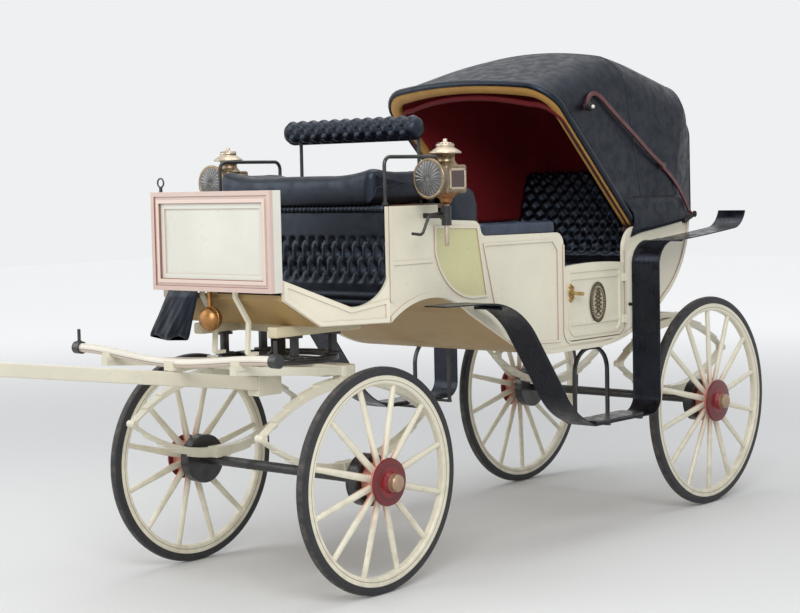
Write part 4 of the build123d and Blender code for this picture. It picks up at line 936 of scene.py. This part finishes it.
def arch_points(row, inset):
    """Points of one hood section, from its left foot over the top to its right foot."""
    foot_station, foot_z, top_station, top_z, half, corner = row
    foot, top = Vector((0, at(foot_station), foot_z)), Vector((0, at(top_station), top_z))
    up = (top - foot).normalized()
    half, corner = half - inset, corner - inset
    shoulder = (top - foot).length - inset - HOOD_CROWN
    straight = shoulder - corner
    bend = corner * pi / 2
    total = straight + bend + (half - corner)
    points = []
    for step in range(ARCH_STEPS + 1):
        share = step / ARCH_STEPS * 2 - 1
        run = (1 - abs(share)) * total
        if run < straight:
            x, z = half, run
        elif run < straight + bend:
            angle = (run - straight) / corner
            x, z = half - corner + corner * cos(angle), straight + corner * sin(angle)
        else:
            x, z = half - corner - (run - straight - bend), shoulder
        if abs(x) < half:
            z += HOOD_CROWN * (1 - (abs(x) / half) ** 2) * min(1, max(0, (z - straight) / corner))
        points.append(foot + up * z + Vector((x if share < 0 else -x, 0, 0)))
    return points


def front_line(inset, ahead):
    """Line round the hood's mouth, this far inside the leather's edge and ahead of it."""
    foot_station, foot_z, top_station, top_z = HOOD_BOWS[0][:4]
    up = Vector((0, top_station - foot_station, top_z - foot_z)).normalized()
    forward = Vector((0, -up.z, up.y))
    return [point + forward * ahead for point in arch_points(HOOD_BOWS[0], inset)]


def back_rows(last):
    """Rows that close the hood's back, from its last arch in to the middle of its foot."""
    middle = (last[0] + last[-1]) / 2
    return [[middle + (point - middle) * share + Vector((0, 0.010 * sqrt(1 - share), 0)) for point in last]
            for share in (0.985, 0.955, 0.90, 0.80, 0.65, 0.45, 0.25, 0.02)]


def hood_sections(insets=(0, 0, 0, 0)):
    """Rows of points from the front bow to the back, drawn in a little between the bows, and the back wall."""
    keys = [arch_points(row, inset) for row, inset in zip(HOOD_BOWS, insets)]
    keys[-1] = [point - Vector((0, insets[-1], 0)) for point in keys[-1]]
    rows = []
    for number in range(len(keys) - 1):
        before, after = keys[max(number - 1, 0)], keys[min(number + 2, len(keys) - 1)]
        for step in range(STEPS_BETWEEN + (number == len(keys) - 2)):
            t = step / STEPS_BETWEEN
            row = []
            for p0, p1, p2, p3 in zip(before, keys[number], keys[number + 1], after):
                smooth = 0.5 * (2 * p1 + (p2 - p0) * t + (2 * p0 - 5 * p1 + 4 * p2 - p3) * t * t
                                + (3 * p1 - p0 - 3 * p2 + p3) * t ** 3)
                point = smooth.lerp(p1.lerp(p2, t), HOOD_TIGHTNESS)
                inward = Vector((0, PIVOT.y, PIVOT.z + 0.2)) - Vector((0, point.y, point.z))
                drop = HOOD_SAG * sin(pi * t) * min(1, inward.length / 0.6)
                row.append(point + inward.normalized() * drop)
            rows.append(row)
    return rows + back_rows(rows[-1])


def bow_angle(row):
    """Angle at the pivot of the top of one hood section."""
    return atan2(HOOD_BOWS[row][3] - PIVOT.z, at(HOOD_BOWS[row][2]) - PIVOT.y)


def hood_weights(piece):
    """Each point of the hood turns with the bows: the share of the fold grows with its angle at the pivot."""
    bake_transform(piece, BODY, "front_bow", start=(0, PIVOT.y + 0.5, PIVOT.z), end=(0, PIVOT.y - 0.5, PIVOT.z + 0.5))
    marks = [(HOOD_STILL, 0.0), (bow_angle(2), ratios["hood_rear_bow_fold"]),
             (bow_angle(1), ratios["hood_middle_bow_fold"]), (bow_angle(0), 1.0)]
    weights = []
    for vertex in piece.data.vertices:
        angle = atan2(vertex.co.z - PIVOT.z, vertex.co.y - PIVOT.y)
        weight = 0.0 if angle < marks[0][0] else 1.0
        for (a0, w0), (a1, w1) in zip(marks, marks[1:]):
            if a0 <= angle < a1:
                weight = w0 + (w1 - w0) * (angle - a0) / (a1 - a0)
        weights.append(weight)
    piece.data.attributes["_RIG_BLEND"].data.foreach_set("value", weights)


def thickened(piece, thickness):
    modifier = piece.modifiers.new("thickness", "SOLIDIFY")
    modifier.thickness = thickness
    modifier.offset = 0
    bpy.context.view_layer.objects.active = piece
    with bpy.context.temp_override(object=piece, active_object=piece):
        bpy.ops.object.modifier_apply(modifier=modifier.name)


# rows from front to back, each (station, height, half width) from under the hood down to the hem
SKIRT = [
    ((2.098, 1.777, 0.5915), (2.142, 1.736, 0.5935), (2.186, 1.694, 0.5985), (2.184, 1.645, 0.6045),
     (2.160, 1.600, 0.605), (2.143, 1.568, 0.605)),
    ((2.270, 1.790, 0.5790), (2.272, 1.745, 0.5840), (2.270, 1.700, 0.5940), (2.265, 1.655, 0.6035),
     (2.255, 1.615, 0.605), (2.245, 1.590, 0.605)),
    ((2.450, 1.790, 0.5760), (2.450, 1.745, 0.5810), (2.450, 1.705, 0.5910), (2.448, 1.665, 0.6030),
     (2.445, 1.630, 0.605), (2.440, 1.612, 0.605)),
    ((2.640, 1.790, 0.5755), (2.640, 1.750, 0.5775), (2.637, 1.712, 0.5850), (2.632, 1.680, 0.6000),
     (2.626, 1.650, 0.605), (2.620, 1.634, 0.605)),
    ((2.762, 1.790, 0.5600), (2.762, 1.755, 0.5640), (2.762, 1.722, 0.5700), (2.762, 1.700, 0.5750),
     (2.762, 1.674, 0.602), (2.762, 1.655, 0.605)),
]
# the skirt stays with the body below this height, and moves with the hood this far above it
SKIRT_FIXED_BELOW, SKIRT_FOLD = 1.62, 0.12
SKIRT_STEPS = 8


def make_skirt(hide):
    """Leather below the hood's foot, lapped over the outside of the body."""
    rows = []
    for number, (ahead, behind) in enumerate(zip(SKIRT, SKIRT[1:])):
        for step in range(SKIRT_STEPS + (number == len(SKIRT) - 2)):
            row = [Vector(a).lerp(Vector(b), step / SKIRT_STEPS) for a, b in zip(ahead, behind)]
            rows.append([(half, at(station), height) for station, height, half in row])
    skirt = skin("hood_skirt_left", rows, hide)
    thickened(skirt, 0.003)
    for piece in pair(skirt):
        hood_weights(piece)
        for vertex, share in zip(piece.data.vertices, piece.data.attributes["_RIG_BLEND"].data):
            share.value *= min(1, max(0, (vertex.co.z - SKIRT_FIXED_BELOW) / SKIRT_FOLD))


def make_hood(outer, lining, band, welt):
    rows = hood_sections()
    cover = skin("hood_leather_cover", rows, outer)
    inner = skin("hood_lining", [front_line(0.073, -0.008)] + hood_sections((0.072, 0.076, 0.078, 0.050))[1:], lining)
    # (inset, ahead) of the lines round the mouth
    rim = skin("hood_front_rim", [front_line(*place) for place in (
        (0.004, -0.012), (-0.004, -0.010), (-0.007, 0.000), (-0.006, 0.012), (0.000, 0.021), (0.008, 0.024),
        (0.0125, 0.020), (0.0125, 0.010))], welt)
    edge_band = skin("hood_front_band", [front_line(*place) for place in (
        (0.011, 0.010), (0.013, 0.018), (0.020, 0.0225), (0.040, 0.0245), (0.062, 0.0225), (0.070, 0.017),
        (0.0735, 0.008), (0.0735, -0.012))], band)
    hem = join("hood_hem", [tube("hem", [row[side] for row in rows], 0.006, welt) for side in (0, -1)])
    for piece, thickness in ((cover, 0.004), (inner, 0.003), (rim, 0.002), (edge_band, 0.002)):
        thickened(piece, thickness)
    centre = Vector((0, PIVOT.y, PIVOT.z + 0.3))
    ridge = join("hood_seams", [
        tube("seam", [p + (p - centre).normalized() * 0.001 for p in rows[key * STEPS_BETWEEN]], 0.0035, welt)
        for key in (1, 2, 3)])
    for piece in (cover, inner, edge_band, rim, hem, ridge):
        hood_weights(piece)
    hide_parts("hood_leather")
    make_skirt(outer)


def make_knob_ends(ivory):
    """White ball on the end of each knob that the landau irons turn on."""
    profile = [(0.0, -0.004), (0.007, -0.003), (0.010, 0.001), (0.0105, 0.005), (0.009, 0.010), (0.005, 0.0135),
               (0.0, 0.0145)]
    centre = (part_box("hood_bow_front")[1].x, at(1.742), 2.272)
    for piece in pair(turned("knob_end_left", profile, ivory, 24, centre, "X")):
        settle(piece, "front_bow", "black_iron")


# Lamps
LAMP_X = 0.735
LAMP_STATION = 0.400
LENS_Z = 1.909
LENS_R = 0.092
LENS_STATION = 0.277
CASE_FRONT, CASE_BACK, CASE_HALF = 0.338, 0.490, 0.058
CASE_FOOT, CASE_TOP = 1.838, 1.972
PANE_FRONT, PANE_BACK, PANE_FOOT, PANE_TOP = 0.362, 0.470, 1.862, 1.950
PANE_PROUD = 0.0006
CAP_Z, STEM_Z, VENT_Z, VENT_REACH = 2.0285, 1.802, 2.0708, 0.040


def make_lens(cut_glass, cuts):
    """Fluted round glass, and the fine cuts that run out from its middle."""
    front = at(LENS_STATION)
    rows, steps = 10, 96
    vertices = []
    for row in range(rows + 1):
        r = (LENS_R - 0.005) * row / rows
        for angle in circle(steps):
            flute = 0.0032 * abs(sin(angle * 12)) * min(1, row / 3) * (1 if row < rows else 0)
            dome = 0.012 * (1 - (r / LENS_R) ** 2)
            vertices.append((LAMP_X + r * cos(angle), front - dome - flute, LENS_Z + r * sin(angle)))
    lens = make_object("lamp_lens_left", vertices, grid_faces(rows + 1, steps, True), cut_glass)
    rays = []
    for angle in circle(24):
        line = [Vector((LAMP_X + r * cos(angle), front - ahead, LENS_Z + r * sin(angle)))
                for r, ahead in ((0.012, 0.0125), (0.08, 0.0035))]
        rays.append(tube("ray", line, 0.0012, cuts, resolution=1))
    return lens, join("lamp_lens_cuts_left", rays)


def make_panes(silver, red_glass):
    """Red panes in the sides and back of the lamp's body, and the frames of the side ones."""
    y0, y1, z0, z1 = at(PANE_FRONT), at(PANE_BACK), PANE_FOOT, PANE_TOP
    corners = ((y0, z0), (y1, z0), (y1, z1), (y0, z1))
    panes, frames = [], []
    for side in SIDES:
        x = LAMP_X + side * (CASE_HALF + PANE_PROUD)
        panes.append(flat("pane", [(x, y, z) for y, z in corners], red_glass))
        for (ya, za), (yb, zb) in zip(corners, corners[1:] + corners[:1]):
            frames.append(rounded_box("frame", (x - 0.004, min(ya, yb) - 0.006, min(za, zb) - 0.006),
                                      (x + 0.004, max(ya, yb) + 0.006, max(za, zb) + 0.006), 0.003, silver))
    y2 = at(CASE_BACK) + PANE_PROUD
    panes.append(flat("pane", [(LAMP_X + x, y2, z) for x, z in (
        (-0.036, z0), (0.036, z0), (0.036, z1), (-0.036, z1))], red_glass))
    return join("lamp_panes_left", panes), join("lamp_frames_left", frames)


def make_lamps(brass, copper, silver, red_glass, cut_glass, cuts):
    """Each lamp: a barrel with its lens, a body with framed panes, a vented cap, a copper base and its stem."""
    y = at(LAMP_STATION)
    lens, star = make_lens(cut_glass, cuts)
    barrel = turned("barrel", [
        (0.0, 0.002), (LENS_R - 0.006, -0.004), (LENS_R + 0.001, -0.006), (LENS_R + 0.003, 0.0),
        (LENS_R + 0.002, 0.008), (LENS_R - 0.004, 0.011), (LENS_R - 0.006, 0.040), (LENS_R - 0.012, 0.052),
        (0.060, 0.064), (0.050, 0.080), (0.0, 0.082)], brass, 72, (LAMP_X, at(LENS_STATION), LENS_Z), "Y")
    body = rounded_box("body", (LAMP_X - CASE_HALF, at(CASE_FRONT), CASE_FOOT),
                       (LAMP_X + CASE_HALF, at(CASE_BACK), CASE_TOP), 0.012, brass)
    roof = turned("roof", [(0.0, -0.012), (0.062, -0.012), (0.058, -0.002), (0.046, 0.012), (0.041, 0.020),
                           (0.041, 0.056), (0.0, 0.056)], brass, 48, (LAMP_X, y + 0.006, CASE_TOP))
    case = join("lamp_case_left", [barrel, body, roof])
    pane, posts = make_panes(silver, red_glass)
    cap = turned("lamp_cap_left", [
        (0.0, 0.066), (0.008, 0.065), (0.011, 0.060), (0.009, 0.054), (0.014, 0.050), (0.034, 0.046), (0.042, 0.040),
        (0.044, 0.030), (0.040, 0.027), (0.046, 0.022), (0.060, 0.014), (0.074, 0.004), (0.077, -0.001),
        (0.073, -0.004), (0.050, 0.002), (0.044, -0.012), (0.0, -0.012)], silver, 64, (LAMP_X, y, CAP_Z))
    base = turned("lamp_base_left", [
        (0.0, 0.016), (0.054, 0.014), (0.056, 0.004), (0.050, -0.008), (0.036, -0.020), (0.030, -0.026),
        (0.030, -0.034), (0.020, -0.046), (0.0, -0.046)], copper, 48, (LAMP_X, y, CASE_FOOT))
    stem = turned("lamp_stem_left", [
        (0.0, 0.012), (0.0138, 0.012), (0.0138, -0.098), (0.0115, -0.142), (0.010, -0.206), (0.008, -0.209),
        (0.0, -0.209)], silver, 24, (LAMP_X, y, STEM_Z))
    # The dark studs round the cap stand for its vent holes: painted shade of the holes' insides.
    vent = join("lamp_vents_left", [
        turned("vent", [(0.0, 0.0), (0.0035, 0.0006), (0.0035, 0.002), (0.0, 0.0024)], cuts, 8,
               (LAMP_X + VENT_REACH * cos(angle), y + VENT_REACH * sin(angle), VENT_Z))
        for angle in circle(16)])
    special = {"lamp_lens_left": ("lens_glass", "lamp_lenses"), "lamp_case_left": ("brass", "lamps")}
    for left in (lens, star, pane, posts, cap, base, vent, case, stem):
        for piece in pair(left):
            settle(piece, BODY, *special.get(left.name, ("brass",)))


# Door ornament and painted field
DOOR_FACE = 0.6062
ORNAMENT_Y, ORNAMENT_Z = at(1.82), 1.232
ORNAMENT_HALF_Y, ORNAMENT_HALF_Z = 0.068, 0.104


def make_door_ornaments(bronze, ground):
    """Generic oval of leaves and scrolls in a beaded ring, one on each door."""

    def oval(x, half_y, half_z, count):
        return [(x, ORNAMENT_Y + half_y * cos(a), ORNAMENT_Z + half_z * sin(a)) for a in circle(count)]

    parts = [flat("ground", oval(DOOR_FACE + 0.0006, ORNAMENT_HALF_Y, ORNAMENT_HALF_Z, 48), ground)]
    for scale, thick in ((1.0, 0.0052), (0.74, 0.003)):
        parts.append(tube("ring", oval(DOOR_FACE, ORNAMENT_HALF_Y * scale, ORNAMENT_HALF_Z * scale, 64), thick,
                          bronze, True))
    for place in oval(DOOR_FACE, 0.0585, 0.0930, 40):
        parts.append(turned("bead", [(0.0, 0.0), (0.0044, 0.0005), (0.0040, 0.003), (0.0, 0.0046)], bronze, 8,
                            place, "X"))
    for level in range(6):
        z = ORNAMENT_Z - 0.056 + level * 0.0225
        wide = 0.046 * sqrt(max(0.05, 1 - ((z - ORNAMENT_Z) / 0.074) ** 2))
        for side in SIDES:
            scroll = [(DOOR_FACE + 0.002, ORNAMENT_Y + side * wide * (0.15 + 0.75 * t) * cos(t * 2.4),
                       z + 0.014 * sin(t * 3.6)) for t in (n / 14 for n in range(15))]
            parts.append(tube("scroll", scroll, 0.0042, bronze))
    on_doors(join("door_ornament_left", parts))


def arc_through(first, middle, last, count):
    """Points on the circle through three (station, height) points, from the first to the last."""
    (ax, ay), (bx, by), (cx, cy) = first, middle, last
    d = 2 * (ax * (by - cy) + bx * (cy - ay) + cx * (ay - by))
    a2, b2, c2 = ax**2 + ay**2, bx**2 + by**2, cx**2 + cy**2
    ux = (a2 * (by - cy) + b2 * (cy - ay) + c2 * (ay - by)) / d
    uy = (a2 * (cx - bx) + b2 * (ax - cx) + c2 * (bx - ax)) / d
    start, end = atan2(ay - uy, ax - ux), atan2(cy - uy, cx - ux)
    radius = hypot(ax - ux, ay - uy)
    turn = (end - start + pi) % (2 * pi) - pi
    return [(ux + radius * cos(start + turn * n / count), uy + radius * sin(start + turn * n / count))
            for n in range(count + 1)]


QUARTER_FACE = 0.6006


def make_green_fields(material):
    """Pale green field inside the quarter panel's moulding."""
    outline = [(0.797, 1.668), (0.535, 1.678), (0.472, 1.678)]
    outline += arc_through((0.472, 1.560), (0.565, 1.405), (0.800, 1.326), 12) + [(0.862, 1.326)]
    for piece in pair(flat("quarter_field_left", [(QUARTER_FACE, at(s), z) for s, z in outline], material)):
        settle(piece, BODY, "cream_paint")


# Studio
FLOOR_HALF = 30


def seen_rays(tree):
    """1 for camera, glossy and transmission rays, 0 for the rays that light the object."""
    path = tree.nodes.new("ShaderNodeLightPath")
    total = path.outputs["Is Camera Ray"]
    for name in ("Is Glossy Ray", "Is Transmission Ray"):
        node = tree.nodes.new("ShaderNodeMath")
        node.operation = "MAXIMUM"
        tree.links.new(total, node.inputs[0])
        tree.links.new(path.outputs[name], node.inputs[1])
        total = node.outputs[0]
    return total


def make_stage():
    """Pale floor that turns white far off, the world, and three soft lamps."""
    ground = Surface("floor_paint", 0.9, base_color=(0.72, 0.72, 0.71, 1), emission_color=(1, 1, 1, 1))
    distance = ground.add("ShaderNodeVectorMath", operation="LENGTH")
    ground.put(distance.inputs[0], ground.place)
    far = ground.ramp(distance.outputs["Value"], 4.0, 15.0, 0.0, 0.5)
    ground.put(ground.shader.inputs["Emission Strength"], ground.times(far, seen_rays(ground.tree)))
    flat("floor", [(x * FLOOR_HALF, y * FLOOR_HALF, 0) for x, y in ((-1, -1), (1, -1), (1, 1), (-1, 1))],
                  ground.material)
    world = bpy.data.worlds.new("world")
    bpy.context.scene.world = world
    world.use_nodes = True
    tree = world.node_tree
    background = tree.nodes["Background"]
    mix = tree.nodes.new("ShaderNodeMix")
    mix.data_type = "RGBA"
    mix.inputs[6].default_value = (0.46, 0.475, 0.50, 1)
    mix.inputs[7].default_value = (0.86, 0.87, 0.88, 1)
    tree.links.new(seen_rays(tree), mix.inputs["Factor"])
    tree.links.new(mix.outputs[2], background.inputs["Color"])
    background.inputs["Strength"].default_value = 1.0
    for name, place, target, power, size in (
        ("key", (6.5, -6.0, 6.5), (0, 0.6, 1.0), 560, 5.0),
        ("fill", (-6.0, -5.0, 4.5), (0, 0.6, 1.0), 215, 6.0),
        ("top", (0.0, 1.5, 8.0), (0, 0.8, 1.0), 260, 7.0),
    ):
        data = bpy.data.lights.new(name, "AREA")
        data.energy, data.size = power, size
        lamp = linked(name, data)
        lamp.location = place
        lamp.rotation_mode = "QUATERNION"
        lamp.rotation_quaternion = (Vector(target) - Vector(place)).to_track_quat("-Z", "Y")
    bpy.context.scene.view_settings.view_transform = "Standard"


WHEEL_RADII = {"front": 0.5275, "rear": 0.600}


def dress_nodes():
    for end, radius in WHEEL_RADII.items():
        for side, sign in (("left", 1), ("right", -1)):
            centre = joints[f"{end}_wheel_{side}_spin"]["pos_m"]
            dress(rubber(f"rubber_{end}_{side}", centre, radius), f"tyre_{end}_{side}")
            dress(wheel_paint(f"wheel_paint_{end}_{side}", centre, radius), f"wheel_{end}_{side}")
            dress(hub_paint(f"hub_paint_{end}_{side}", centre, sign), f"hub_{end}_{side}")
    for material, names in (
        (paint("body_cream", CREAM, dust_top=1.1, dust_most=0.12), "side_left side_right door_left door_right"),
        (paint("gear_cream", rgb(222, 217, 196), dust_top=1.2, dust_most=0.3),
         "front_springs rear_springs pole futchells rear_hangers front_bed"),
        (moulding_paint("moulding_paint"), "mouldings"),
        (paint("dash_paint", PALE_CREAM, dust_most=0.05), "dash"),
        (dash_frame_paint("dash_frame_paint"), "dash_frame"),
        (underside_paint("underside_paint"), "floor_front floor_cabin rear_panel"),
        (bar_paint("bar_paint"), "splinter_bar"),
        (iron("black_iron"), "front_axle rear_axle turntable_lower draught_irons rails steps"),
        (body_iron_paint("body_iron_paint"), "body_irons"),
        (fender_paint("fender_black"), "fenders"),
        (iron("landau_iron", rgb(80, 14, 20), 0.4), "hood_iron_front hood_iron_rear"),
        (wood("bow_wood", BOW_BROWN), "hood_bow_middle hood_bow_rear"),
        (front_bow_cloth("front_bow_cloth"), "hood_bow_front"),
        (wood("seat_wood"), "box_seat benches"),
        (metal("brass", rgb(196, 164, 108)), "handle_left handle_right"),
    ):
        dress(material, names)


make_camera()
dress_nodes()
make_upholstery(leather("seat_leather"))
# The armrests' leather is dark blue, its base lifted above the other black leather as a painted blue sheen.
make_armrests(leather("armrest_leather", rgb(27, 32, 48), gloss=0.9))
make_apron(leather("apron_hide", rgb(5, 5, 8), 0.32, gloss=0.35))
make_gong(metal("gong_copper", rgb(176, 130, 82), 0.3))
# The timbers' cream is darker than the body's cream: a painted shade for where they sit under the body.
make_turntable(paint("timber_cream", rgb(214, 203, 172), dust_top=1.2, dust_most=0.3), iron("turntable_iron"))
make_handle_plates(metal("plate_brass", rgb(186, 152, 96)))
lining = mottled("hood_lining_cloth", (8, 4), rgb(138, 11, 23), rgb(104, 7, 17), 0.9)
band = mottled("hood_band_leather", (12, 5), rgb(206, 158, 86), rgb(172, 126, 62), 0.55)
make_hood(leather("hood_hide", rgb(11, 12, 18), 0.42, 300, 0.34), lining.relief(lining.cells(500), 0.0008, 0.5),
          band.relief(band.noise(120, 3), 0.0006, 0.6), leather("hood_welt", rgb(11, 11, 14), 0.3))
make_knob_ends(paint("ivory", rgb(226, 222, 206), dust_top=0.1))
make_lamps(metal("lamp_brass", rgb(152, 134, 110), 0.3), metal("lamp_copper", rgb(160, 112, 76), 0.36),
           metal("lamp_silver", rgb(200, 186, 166), 0.34, 0.75),
           mottled("red_glass", (20, 3), rgb(66, 26, 20), rgb(40, 16, 14), 0.08, coat_weight=0.6).material,
           mottled("cut_glass", (30, 4), rgb(122, 120, 118), rgb(76, 75, 76), 0.14, coat_weight=0.5,
                   metallic=0.3).material, metal("lamp_cuts", rgb(70, 68, 68), 0.3))
make_door_ornaments(metal("bronze", rgb(108, 98, 82), 0.5, 0.6),
                    paint("ornament_ground", rgb(182, 172, 150), coat=0.0))
make_green_fields(paint("quarter_green", LEAF_GREEN, dust_top=1.0, dust_most=0.05))
make_stage()
